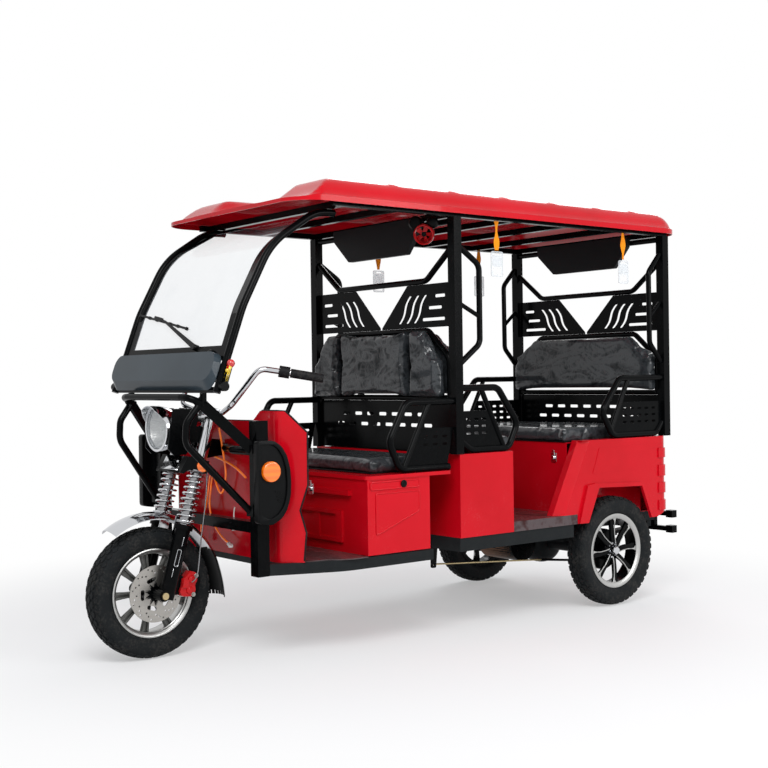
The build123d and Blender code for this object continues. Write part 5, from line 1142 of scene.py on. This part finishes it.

# %% [markdown]
# # Caliper
# The caliper body is a cut outline, thick enough to straddle the disc, with its edges well
# rounded. Two piston bosses and a small bridge stand out of its outer face.
# %% Brake caliper
cal_low, cal_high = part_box("brake_caliper")
cal_middle = (cal_low + cal_high) / 2
outline = rounded([(-0.02, -0.048), (0.022, -0.044), (0.034, -0.02), (0.026, 0.0), (0.034, 0.018),
                   (0.024, 0.046), (0.0, 0.05), (-0.012, 0.03), (-0.03, 0.016), (-0.026, -0.012),
                   (-0.034, -0.03)], 0.008)
lean = Vector((-0.2, 0, 1))
across = Vector((-1, 0, -0.2))
body_place = standing((cal_middle.x - 0.004, 0.071, cal_middle.z), across, lean)
pieces = [plate("caliper", [outline], 0.04, body_place, 0.004)]
for up in (-0.022, 0.02):
    spot = body_place @ Vector((0.006, up, 0.0))
    boss = lathe("boss", [(0, 0.027), (0.009, 0.027), (0.0125, 0.025), (0.014, 0.021),
                          (0.0145, 0.012), (0, 0.012)], spot, (0, 1, 0), 32)
    pieces.append(boss)
bridge = plate("bridge", [rounded(oblong(-0.012, -0.016, 0.012, 0.016), 0.004)], 0.008,
               standing(body_place @ Vector((-0.014, 0, 0.021)), across, lean), 0.002)
pieces.append(bridge)
caliper = shown(joined(pieces, "caliper_body"), "steering", caliper_paint)
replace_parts(caliper, "brake_caliper")
for up in (-0.036, 0.035):
    spot = body_place @ Vector((0.026, up, 0.0))
    made = bolt(spot + Vector((0, 0.02, 0)), (0, 1, 0), 0.006, steel, "steering", "caliper_bolt")
    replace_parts(made, "brake_caliper")
bridle = plate("caliper_bracket", [rounded([(0.018, -0.05), (0.034, -0.05), (0.046, -0.02),
                                            (0.046, 0.02), (0.034, 0.05), (0.018, 0.05)], 0.006)],
               0.006, standing(body_place @ Vector((0.012, 0, -0.004)), across, lean), 0.001)
shown(bridle, "steering", black_paint)
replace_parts(bridle, "brake_caliper")
print("caliper ready")

# %% [markdown]
# # Headlight
# Behind the clear lens a bright reflector bowl is turned, with the bulb in its middle. The
# lens itself is pressed with squares that spread the light, so its glass gets a grid bump.
# %% Headlight
lens_low, lens_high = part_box("headlight_lens")
lens_middle = (lens_low + lens_high) / 2
bowl = lathe("headlight_bowl", [(0, -0.052), (0.02, -0.05), (0.045, -0.036), (0.062, -0.018),
                                (0.073, -0.002), (0.0745, -0.0035), (0.063, -0.02),
                                (0.046, -0.0385), (0.02, -0.0525), (0, -0.0545)],
             (lens_low.x, 0, lens_middle.z), (1, 0, 0), 64)
shown(bowl, "steering", alloy)
bulb = lathe("headlight_bulb", [(0, -0.008), (0.006, -0.01), (0.0095, -0.016), (0.0095, -0.03),
                                (0.0075, -0.036), (0.012, -0.038), (0.012, -0.05), (0, -0.05)],
             (lens_low.x, 0, lens_middle.z), (1, 0, 0), 24)
shown(bulb, "steering", connector_white)
grid = Paint("pressed_lens")
squares = abs((grid.place("Y") * 520.0).sine()).least(abs((grid.place("Z") * 520.0).sine()))
grid.set(Base_Color=(0.86, 0.9, 0.92), Roughness=0.06, Alpha=0.12 + (1 - squares) ** 4 * 0.5,
         Specular_IOR_Level=0.8, Normal=grid.bump(squares, 0.0014))
finish_node("headlight_lens", grid.material)
print("headlight ready")

# %% [markdown]
# # Hanging cards
# A flat orange web is folded over the rail, pinched and twisted, and carries a clear plastic
# card holder. The web is a narrow grid turned a little at every row, and the holder is a cut
# plate with a window, a lip and a slot.
# %% Straps and cards
straps = [pair for pair in solids("hand_straps") if pair[1].z > 1.6]
for number, (low, high) in enumerate(straps):
    x, y = (low.x + high.x) / 2, (low.y + high.y) / 2
    bpy.ops.object.select_all(action="DESELECT")
    bpy.ops.mesh.primitive_grid_add(x_subdivisions=6, y_subdivisions=28, size=1)
    web = bpy.context.object
    web.name = f"strap_web_{number}"
    top_z, end_z = high.z, low.z + 0.004
    for point in web.data.vertices:
        share = 0.5 - point.co.y
        width = 0.011 + 0.0025 * math.cos(share * 9 + number)
        turn = 0.35 * math.sin(share * 5.5 + number * 1.3)
        across = point.co.x * 2 * width
        fold = 0.0022 * math.cos(point.co.x * 9)
        point.co = (x + across * math.cos(turn), y + across * math.sin(turn) + fold,
                    top_z + (end_z - top_z) * share)
    apply_modifier(web, "SOLIDIFY", thickness=0.0014, offset=0)
    apply_modifier(web, "SUBSURF", levels=1, render_levels=1)
    web.select_set(True)
    bpy.ops.object.shade_smooth()
    shown(web, "chassis", strap_web)
    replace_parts(web, "hand_straps")
    card_loop = rounded(oblong(-0.033, -0.052, 0.033, 0.052), 0.009)
    slot_loop = rounded(oblong(-0.015, 0.04, 0.015, 0.046), 0.0028)
    grip_loop = rounded(oblong(-0.022, -0.042, 0.022, -0.018), 0.007)
    stand = seen_from_side((x, y, 1.497))
    card = plate(f"strap_card_{number}", [card_loop, slot_loop, grip_loop], 0.0024, stand, 0.0005)
    rim_in = rounded(oblong(-0.029, -0.048, 0.029, 0.048), 0.006)
    rim_piece = plate("rim", [card_loop, rim_in], 0.005, stand, 0.0008)
    inner = plate("inner", [rounded(oblong(-0.024, -0.01, 0.024, 0.036), 0.003)], 0.004, stand,
                  0.0006)
    holder = joined([card, rim_piece, inner], f"strap_card_{number}")
    shown(holder, "chassis", card_clear)
    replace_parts(holder, "hand_straps")
print("straps:", len(straps))

# %% [markdown]
# # Backrest plates
# The plates above each back are laser-cut. Three slots lean outwards and wave, and three
# level slots stand beside them, so both plates of a row are cut again from a flat outline.
# %% Cut plates
def wavy_slot(foot, head_up, lean_out, width):
    """A leaning slot with two waves, drawn as one closed loop."""
    spine = []
    for step in range(9):
        share = step / 8
        wave = 0.007 * math.sin(share * 2 * math.pi)
        spine.append(Vector((foot[0] + lean_out * share + wave, foot[1] + head_up * share)))
    left = [(point.x - width / 2, point.y) for point in spine]
    right = [(point.x + width / 2, point.y) for point in reversed(spine)]
    return rounded(left + right, 0.004, 2)


def bar_slot(across, up, length, height=0.0125):
    half = length / 2
    return rounded([(across - half, up - height / 2), (across + half, up - height / 2),
                    (across + half, up + height / 2), (across - half, up + height / 2)], 0.006)


plate_nodes = [pair for pair in solids("slotted_plates") if pair[0].z > 1.2]
vee_low = min(pair[0].z for pair in plate_nodes)
vee_high = max(pair[1].z for pair in plate_nodes)
print("plates from", round(vee_low, 3), "to", round(vee_high, 3))
PLATE_X = (0.033, -1.258)
LEVEL_SLOTS = [(0.387, 1.366, 0.062), (0.356, 1.319, 0.082), (0.345, 1.272, 0.14)]
WAVY_FEET = (0.126, 0.176, 0.225)
SLOT_ROWS = (((0.88, 7), (0.835, 8)), ((0.88, 7), (0.832, 8), (0.79, 7)))
LOWER_EDGES = sorted({round(pair[0].z, 4) for pair in solids("slotted_plates")
                      if pair[0].z < 1.0})


def mirrored(loop):
    return [(-across, up) for across, up in reversed(loop)]


for x, rows, low_edge in zip(PLATE_X, SLOT_ROWS, LOWER_EDGES):
    vee = [(0.456, vee_high), (0.178, vee_high), (0.006, vee_low + 0.008), (0.006, vee_low),
           (0.456, vee_low)]
    holes = [wavy_slot((foot, 1.26), 0.113, 0.073, 0.0145) for foot in WAVY_FEET]
    holes += [bar_slot(*level) for level in LEVEL_SLOTS]
    for side in (1, -1):
        loops = [vee] + holes
        if side < 0:
            loops = [mirrored(loop) for loop in loops]
        label = ("front" if x > -0.5 else "rear") + ("_left" if side > 0 else "_right")
        made = plate("backrest_plate_" + label, loops, 0.003, seen_from_front(x),
                     0.0005)
        shown(made, "chassis", black_paint)
        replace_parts(made, "slotted_plates")
    sheet_loops = [rounded([(-0.456, low_edge), (0.456, low_edge), (0.456, 0.9377),
                            (-0.456, 0.9377)], 0.018)]
    for up, count in rows:
        for index in range(count):
            sheet_loops.append(bar_slot((index - (count - 1) / 2) * 0.086, up, 0.05, 0.014))
    made = plate("slotted_sheet_" + ("front" if x > -0.5 else "rear"), sheet_loops, 0.003,
                 seen_from_front(x), 0.0005)
    shown(made, "chassis", black_paint)
    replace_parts(made, "slotted_plates")
print("plates cut")

# %% [markdown]
# # Windshield
# The clear sheet has a painted black border. It is cut from a copy of the sheet itself, so it
# follows the same curve, and fattened a little so that it lies over the edge.
# %% Windshield border
def node_copy(node_name, name):
    """A merged copy of an engineered node's mesh, as a new piece without the node's marks."""
    made = moved_copy(nodes[node_name], (0, 0, 0), name)
    for mark in list(made.keys()):
        del made[mark]
    made.parent = None
    made.data.materials.clear()
    bpy.ops.object.select_all(action="DESELECT")
    made.select_set(True)
    bpy.context.view_layer.objects.active = made
    bpy.ops.object.mode_set(mode="EDIT")
    bpy.ops.mesh.select_all(action="SELECT")
    bpy.ops.mesh.remove_doubles(threshold=MERGE)
    bpy.ops.object.mode_set(mode="OBJECT")
    return made


def glass_strip(name, cuts):
    """The part of the sheet that is left after cutting by planes."""
    made = node_copy("windshield_glass", name)
    for point, normal in cuts:
        cut_corner(made, point, normal)
    bpy.ops.object.mode_set(mode="EDIT")
    bpy.ops.mesh.select_all(action="SELECT")
    bpy.ops.transform.shrink_fatten(value=0.0008)
    bpy.ops.object.mode_set(mode="OBJECT")
    return made


GLASS_SIDE, GLASS_SILL = 0.342, 1.158
strips = [glass_strip("border", [((0, 0, GLASS_SILL), (0, 0, 1))])]
for side in (1, -1):
    strips.append(glass_strip("border", [((0, side * GLASS_SIDE, 0), (0, -side, 0)),
                                         ((0, 0, GLASS_SILL), (0, 0, -1))]))
shown(joined(strips, "windshield_border"), "chassis", black_paint)
print("border ready")

# %% [markdown]
# The wiper has a cranked arm on a pivot cap and a ribbed blade with a rubber lip. It parks
# across the sheet. Its small motor sits at the foot of the pillar.
# %% Wiper
GLASS_OUT = Vector((0.9385, 0, 0.3454))
PIVOT = Vector((1.044, 0.167, 1.156))
ARM_TOP, BLADE_MIDDLE = Vector((1.004, -0.126, 1.264)), Vector((0.998, -0.202, 1.281))
BLADE_ENDS = (Vector((0.9885, -0.375, 1.3035)), Vector((1.016, 0.056, 1.231)))
WIPER_MOTOR = Vector((1.053, 0.29, 1.124))


def blade_strip(name, start, end, widths, thick, lift):
    """A flat strip between two points that narrows from one width to another."""
    along = (end - start).normalized()
    length = (end - start).length
    loop = [(0, -widths[0] / 2), (length, -widths[1] / 2), (length, widths[1] / 2),
            (0, widths[0] / 2)]
    up = GLASS_OUT.cross(along)
    place = standing(start + GLASS_OUT * lift, along, up)
    return plate(name, [rounded(loop, 0.002)], thick, place, 0.0006)


wiper = [lathe("pivot", [(0, -0.012), (0.012, -0.012), (0.012, 0.004), (0.009, 0.008), (0, 0.009)],
               PIVOT, GLASS_OUT, 24)]
wiper.append(blade_strip("arm", PIVOT, ARM_TOP, (0.02, 0.009), 0.005, 0.003))
wiper.append(blade_strip("tip", ARM_TOP, BLADE_MIDDLE, (0.009, 0.007), 0.004, 0.002))
wiper.append(blade_strip("holder", BLADE_MIDDLE + (BLADE_ENDS[1] - BLADE_MIDDLE) * 0.14,
                         BLADE_MIDDLE + (BLADE_ENDS[0] - BLADE_MIDDLE) * 0.16, (0.015, 0.015),
                         0.01, -0.001))
wiper.append(blade_strip("spine", BLADE_ENDS[0], BLADE_ENDS[1], (0.009, 0.009), 0.004, -0.003))
for share in (0.0, 0.2, 0.36, 0.64, 0.8, 0.975):
    clip_start = BLADE_ENDS[0].lerp(BLADE_ENDS[1], share)
    clip_end = BLADE_ENDS[0].lerp(BLADE_ENDS[1], share + 0.025)
    wiper.append(blade_strip("clip", clip_start, clip_end, (0.013, 0.013), 0.008, -0.004))
wiper.append(blade_strip("lip", BLADE_ENDS[0], BLADE_ENDS[1], (0.0025, 0.0025), 0.012, -0.006))
wiper.append(blade_strip("link", PIVOT, WIPER_MOTOR, (0.014, 0.012), 0.005, -0.006))
wiper.append(lathe("motor", [(0, -0.018), (0.02, -0.018), (0.022, -0.014), (0.022, 0.004),
                             (0.018, 0.009), (0.008, 0.011), (0, 0.011)],
                   WIPER_MOTOR, GLASS_OUT, 32))
shown(joined(wiper, "wiper"), "chassis", black_plastic)
print("wiper ready")

# %% [markdown]
# # Cabin fan
# A small fan hangs below the roof beside the driver: a black motor and ball joint on a
# bracket, and a red ring around five blades.
# %% Cabin fan
FAN = Vector((0.1, 0.37, 1.612))
fan_facing = Vector((0.75, 0.55, -0.35)).normalized()
FAN_BLADES = 5
hoop_section = [(0.036, -0.014), (0.041, -0.013), (0.043, 0), (0.041, 0.013), (0.036, 0.014),
                (0.0345, 0), (0.036, -0.014)]
fan_ring = lathe("fan_ring", hoop_section, FAN, fan_facing, 40)
shown(fan_ring, "chassis", caliper_paint)
fan_blade = plate("blade", [rounded([(0.004, -0.006), (0.032, -0.014), (0.034, 0.008),
                                     (0.004, 0.006)], 0.005)], 0.0015,
                  Matrix.Translation(FAN) @ fan_facing.to_track_quat("Z", "Y").to_matrix().to_4x4()
                  @ Matrix.Rotation(0.4, 4, "X"), 0.0004)
fan_blades = turned_copies(fan_blade, FAN_BLADES, FAN, fan_facing, "fan_blades")
shown(fan_blades, "chassis", caliper_paint)
fan_parts = [lathe("fan_motor", [(0, -0.045), (0.018, -0.045), (0.023, -0.038), (0.024, -0.012),
                                 (0.012, -0.004), (0.009, 0.006), (0, 0.008)],
                   FAN, fan_facing, 32)]
knob = FAN + Vector((0.0, -0.05, 0.05))
fan_parts.append(lathe("fan_knob", [(0, -0.03), (0.024, -0.03), (0.029, -0.024), (0.029, 0.01),
                                    (0.022, 0.018), (0, 0.02)], knob, (0.8, 0.5, -0.1), 32))
fan_parts.append(lathe("fan_ball", [(0, -0.02), (0.016, -0.017), (0.024, -0.006), (0.024, 0.006),
                                    (0.016, 0.017), (0, 0.02)], FAN + Vector((-0.02, 0.03, 0.045)),
                       (0.5, 0.8, 0), 32))
fan_parts.append(rod("fan_arm", [knob, knob + Vector((-0.01, 0.03, -0.005)),
                                 FAN - fan_facing * 0.04], 0.008))
fan_parts.append(rod("fan_foot", [knob, knob + Vector((0, 0.0, 0.02)),
                                  Vector((knob.x, knob.y, 1.6745))], 0.009))
shown(joined(fan_parts, "cabin_fan"), "chassis", black_plastic)
print("fan ready")

# %% [markdown]
# # Small hardware
# Bolts hold the guard to the posts. A hasp closes each seat box, and
# a key switch sits in the side of the driver's box.
# %% Bolts and latches
for side in (1, -1):
    for height in (0.776, 0.548):
        bolt((0.9195, side * 0.366, height), (1, 0, 0), 0.0085, brass, name="guard_bolt")


def hasp(name, place, facing):
    """A pressed latch plate with a turn button."""
    facing = Vector(facing)
    across = Vector((0, 0, 1)).cross(facing)
    stand = standing(place, across, (0, 0, 1))
    base = plate("base", [rounded(oblong(-0.016, -0.022, 0.016, 0.022), 0.005)], 0.003, stand,
                 0.0006)
    button = lathe("button", [(0, -0.002), (0.0095, -0.002), (0.0095, 0.007), (0.0075, 0.009),
                              (0, 0.009)], place, facing, 24)
    tongue = plate("tongue", [rounded([(-0.007, 0.008), (0.007, 0.008), (0.006, 0.034),
                                       (-0.006, 0.034)], 0.003)], 0.003,
                   standing(Vector(place) + facing * 0.003, across, (0, 0, 1)), 0.0006)
    return shown(joined([base, button, tongue], name), "chassis", chrome)


hasp("driver_box_hasp", (0.5205, 0.15, 0.598), (1, 0, 0))
hasp("rear_bench_hasp", (-0.6425, 0.36, 0.672), (1, 0, 0))
key = lathe("key_switch", [(0, 0), (0.0145, 0), (0.0145, 0.0035), (0.011, 0.005), (0.0095, 0.0035),
                           (0.004, 0.0035), (0, 0.003)], (0.33, 0.4995, 0.627), (0, 1, 0), 32)
shown(key, "chassis", black_plastic)
print("hardware ready")

# %% [markdown]
# Pressed panels are stiffened by beads. On the driver's box a bead frames the raised side
# panel and its band, and a rubber edging covers the sheet edge of the leg shield.
# %% Beads and edging
PANEL_BEAD = [(0.462, 0.44), (0.462, 0.596), (0.25, 0.596), (0.25, 0.52)]
BAND_BEAD = [(0.488, 0.612), (0.488, 0.64), (0.25, 0.64), (0.25, 0.612)]
for side, side_name in ((1, "left"), (-1, "right")):
    for outline, label in ((PANEL_BEAD, "panel"), (BAND_BEAD, "band")):
        loop = rounded(outline, 0.007)
        line = [(x, side * 0.4966, z) for x, z in loop + loop[:1]]
        bead = rod(f"box_bead_{label}_{side_name}", line, 0.0034, smooth=False)
        shown(bead, "chassis", red_paint)


def shield_edge(x):
    """How far out the leg shield's flank is at one place along the vehicle."""
    return 0.4535 - (x - 0.735) * 80 / 91


FLANK = [(0.754, 0.366), (0.747, 0.47), (0.7555, 0.512), (0.764, 0.552), (0.752, 0.6),
         (0.741, 0.645), (0.741, 0.74), (0.741, 0.838), (0.772, 0.879), (0.8, 0.9165)]
TOP_EDGE = [(0.817, 0.366, 0.9185), (0.8245, 0.34, 0.9185), (0.8245, 0.277, 0.9185),
            (0.8245, 0.217, 0.879), (0.8245, 0.1, 0.878)]
near_half = [(x, shield_edge(x), z) for x, z in FLANK] + TOP_EDGE
whole = near_half + [(x, -y, z) for x, y, z in reversed(near_half)]
edging = rod("shield_edging", whole, 0.0035, smooth=False)
shown(edging, "chassis", soft_rubber)
print("edging ready")

# %% [markdown]
# # Side pods
# The pods behind the front posts are glossy moulded shells with a long curved rear edge. Each
# is a ring around a sunk face, with a spacer that bolts it to the post.
# %% Side pods
POD = [(0.96, 0.52), (0.96, 0.815), (0.895, 0.815), (0.862, 0.795), (0.838, 0.76), (0.825, 0.715),
       (0.8206, 0.66), (0.824, 0.61), (0.838, 0.565), (0.863, 0.532), (0.905, 0.5115)]
POD_FACE = [(0.948, 0.548), (0.948, 0.802), (0.9, 0.802), (0.874, 0.785), (0.853, 0.752),
            (0.841, 0.711), (0.837, 0.66), (0.84, 0.615), (0.852, 0.577), (0.873, 0.55),
            (0.91, 0.531)]
pod_loop, face_loop = rounded(POD, 0.014), rounded(POD_FACE, 0.012)
for side, side_name in ((1, "left"), (-1, "right")):
    ring = plate("ring", [pod_loop, face_loop], 0.032,
                 seen_from_side((0, side * 0.4423, 0)), 0.005, 3)
    face = plate("face", [face_loop], 0.0252,
                 seen_from_side((0, side * 0.4388, 0)), 0.001)
    spacer = block("spacer", (0.885, min(side * 0.3905, side * 0.428), 0.64),
                   (0.92, max(side * 0.3905, side * 0.428), 0.76))
    apply_modifier(spacer, "BEVEL", width=0.003, segments=2, limit_method="ANGLE")
    louvres = [plate("louvre", [rounded(oblong(-0.015, -0.0022, 0.015, 0.0022), 0.002)], 0.003,
                     standing((0.862 + 0.005 * index, side * 0.4522, 0.596 + 0.016 * index),
                              (1, 0, 0.25), (-0.25, 0, 1)), 0.0006) for index in range(3)]
    pod = joined([ring, face, spacer] + louvres, "side_pod_" + side_name)
    shown(pod, "chassis", black_plastic)
    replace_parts(pod, "side_covers")
print("pods ready")

# %% [markdown]
# # Fork hood
# The hood over the lower yoke is bright in the middle and black on its cheeks and hem. A copy
# of the engineered hood is cut along those lines so that each part can take its own finish.
# %% Fork hood
BRIGHT_HALF, HEM_Z = 0.066, 0.7
HOOD_CUTS = [((0, BRIGHT_HALF, 0), (0, 1, 0)), ((0, -BRIGHT_HALF, 0), (0, 1, 0)),
             ((0, 0, HEM_Z), (0, 0, 1))]
hood = node_copy("yoke_cover", "fork_hood")
bpy.ops.object.mode_set(mode="EDIT")
for point, normal in HOOD_CUTS:
    bpy.ops.mesh.select_all(action="SELECT")
    bpy.ops.mesh.bisect(plane_co=point, plane_no=normal)
bpy.ops.object.mode_set(mode="OBJECT")
shown(hood, "steering", chrome)
hood.data.materials.append(black_plastic)
for face in hood.data.polygons:
    face.material_index = int(abs(face.center.y) > BRIGHT_HALF or face.center.z < HEM_Z)
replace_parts(hood, "yoke_cover")
print("hood ready")

# %% [markdown]
# # Brake rod
# A lever under the floor pulls a thin plated rod that runs back to the rear brake.
# %% Brake rod
pull = rod("brake_rod", [(0.02, 0.3, 0.262), (-0.2, 0.3, 0.247), (-0.42, 0.3, 0.231),
                         (-0.62, 0.3, 0.216)], 0.0035)
shown(pull, "chassis", brass)
pull_end = rod("brake_rod_end", [(-0.615, 0.3, 0.2165), (-0.7, 0.302, 0.207), (-0.8, 0.306, 0.196),
                                 (-0.86, 0.31, 0.191)], 0.0055)
shown(pull_end, "chassis", black_paint)
lever = plate("brake_lever", [rounded([(-0.014, -0.066), (0.014, -0.066), (0.02, 0.066),
                                       (-0.02, 0.066)], 0.008), round_loop((0, -0.052), 0.005)],
              0.006, standing((0.018, 0.308, 0.314), (1, 0, 0), (-0.12, 0, 1)), 0.0008)
shown(lever, "chassis", black_paint)
print("rod ready")

# %% [markdown]
# The simulation runs on one pad at a time, for twenty frames with no gravity. `flat_axis` is
# the way through the pad, and the side that rests on the board or frame is kept flat.
# %% Pads blown up as cloth
VOXEL = 0.006
FRAMES = 20
COVER = {"quality": 5, "mass": 0.2, "tension_stiffness": 12, "compression_stiffness": 12,
         "shear_stiffness": 4, "bending_stiffness": 0.4, "use_pressure": True,
         "uniform_pressure_force": 3.0}


def blown(thing, flat_axis, flat_side, cap, spare):
    """Crowns and wrinkles a remeshed pad, and keeps its rest side flat."""
    start = [point.co.copy() for point in thing.data.vertices]
    scene = bpy.context.scene
    cloth = thing.modifiers.new("cloth", "CLOTH")
    for name, setting in COVER.items():
        setattr(cloth.settings, name, setting)
    cloth.settings.shrink_min = -spare
    cloth.settings.effector_weights.gravity = 0
    cloth.collision_settings.use_collision = False
    cloth.point_cache.frame_start, cloth.point_cache.frame_end = 1, FRAMES
    for step in range(1, FRAMES + 1):
        scene.frame_set(step)
    bpy.context.view_layer.objects.active = thing
    bpy.ops.object.modifier_apply(modifier="cloth")
    scene.frame_set(1)
    low = min(co[flat_axis] for co in start)
    high = max(co[flat_axis] for co in start)
    rest = low if flat_side < 0 else high
    for point, old in zip(thing.data.vertices, start):
        move = point.co - old
        if move.length > cap:
            move *= cap / move.length
        point.co = old + move
        if (point.co[flat_axis] - rest) * flat_side > 0:
            point.co[flat_axis] = rest
    return thing


def pad(name, low, high, body, flat_axis, flat_side, cap=0.009, slices=(), soft=0.011,
        inset=0.0015, spare=0.05):
    """One cushion in the space of its solid."""
    low, high = Vector(low), Vector(high)
    for axis in range(3):
        low[axis] += inset
        high[axis] -= inset
    if flat_side < 0:
        low[flat_axis] -= inset
    else:
        high[flat_axis] += inset
    thing = block(name, low, high)
    for point, normal in slices:
        cut_corner(thing, point, normal)
    apply_modifier(thing, "BEVEL", width=soft, segments=3, limit_method="ANGLE")
    apply_modifier(thing, "REMESH", mode="VOXEL", voxel_size=VOXEL)
    apply_modifier(thing, "SMOOTH", iterations=3)
    blown(thing, flat_axis, flat_side, cap, spare)
    apply_modifier(thing, "SUBSURF", levels=1, render_levels=1)
    bpy.ops.object.select_all(action="DESELECT")
    thing.select_set(True)
    bpy.ops.object.shade_smooth()
    shown(thing, body, leatherette)
    return thing


def slab(name, low, high, body, finish, edge=0.002):
    """A thin board with softened edges."""
    thing = block(name, low, high)
    apply_modifier(thing, "BEVEL", width=edge, segments=2, limit_method="ANGLE")
    return shown(thing, body, finish)

# %% [markdown]
# The driver's seat and the rear seat lie on boards that lift with them. The middle seat is
# fixed.
# %% Seat cushions
hinge_lines = {joint["child"]: (joint["pos_m"][0], joint["pos_m"][2])
               for joint in frame["joints"]}
for node_name, body in (("driver_cushion", "driver_seat_lid"), ("rear_cushion", "rear_seat_lid")):
    boxes = sorted(solids(node_name), key=lambda pair: pair[0].z)
    foam_box = boxes[-1]
    board_low = Vector((foam_box[0].x - 0.003, foam_box[0].y, foam_box[0].z - 0.0063))
    board_high = Vector((foam_box[1].x - 0.004, foam_box[1].y, board_low.z + 0.006))
    board = slab(node_name + "_board", board_low, board_high, body, black_plastic)
    foam = pad(node_name + "_pad", *foam_box, body, 2, -1)
    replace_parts(foam, node_name)
    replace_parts(board, node_name)
    hinge_x, hinge_z = hinge_lines[body]
    knuckles = []
    for y in (0.22, -0.22):
        knuckles.append(lathe("knuckle", [(0.0031, -0.02), (0.006, -0.02), (0.006, 0.02),
                                          (0.0031, 0.02), (0.0031, -0.02)],
                              (hinge_x, y, hinge_z), (0, 1, 0), 24))
        leaf = block("leaf", (hinge_x, y - 0.02, hinge_z - 0.0067),
                     (board_low.x + 0.006, y + 0.02, hinge_z - 0.0037))
        apply_modifier(leaf, "BEVEL", width=0.0006, segments=1, limit_method="ANGLE")
        knuckles.append(leaf)
    hinge = shown(joined(knuckles, node_name + "_hinge"), body, black_paint)
    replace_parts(hinge, node_name)
middle_boxes = sorted(solids("middle_cushions"), key=lambda pair: pair[0].z)
middle_seat = pad("middle_seat_pad", *middle_boxes[0], "chassis", 2, -1)

# %% [markdown]
# The long back cushions have their upper corners cut off to follow the bent tube that frames
# them. The driver's back is three pads between two upright bars.
# %% Back cushions
def corner_slices(high, side_height, top_width):
    """Planes that cut the two upper corners of a back cushion."""
    found = []
    for side in (1, -1):
        normal = Vector((0, side * (high.z - side_height), abs(high.y - top_width)))
        found.append((Vector((0, side * high.y, side_height)), normal))
    return found


SHOULDER_Z = 1.125
SHOULDER_Y = 0.296
middle_back_box = middle_boxes[-1]
middle_back = pad("middle_back_pad", *middle_back_box, "chassis", 0, 1,
                  slices=corner_slices(middle_back_box[1], SHOULDER_Z, SHOULDER_Y))
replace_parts(middle_seat, "middle_cushions")
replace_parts(middle_back, "middle_cushions")
rear_back_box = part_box("rear_back_cushion")
rear_back = pad("rear_back_pad", *rear_back_box, "chassis", 0, -1,
                slices=corner_slices(rear_back_box[1], SHOULDER_Z, SHOULDER_Y))
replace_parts(rear_back, "rear_back_cushion")
for low, high in solids("driver_back_cushions"):
    middle_y = (low.y + high.y) / 2
    slices = []
    label = "centre"
    if abs(middle_y) > 0.1:
        side = 1 if middle_y > 0 else -1
        label = "left" if side > 0 else "right"
        slices = [(Vector((0, side * 0.428, 1.095)), Vector((0, side * 0.125, 0.098)))]
    hip_pad = pad("driver_back_pad_" + label, low, high, "chassis", 0, -1, slices=slices)
    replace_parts(hip_pad, "driver_back_cushions")
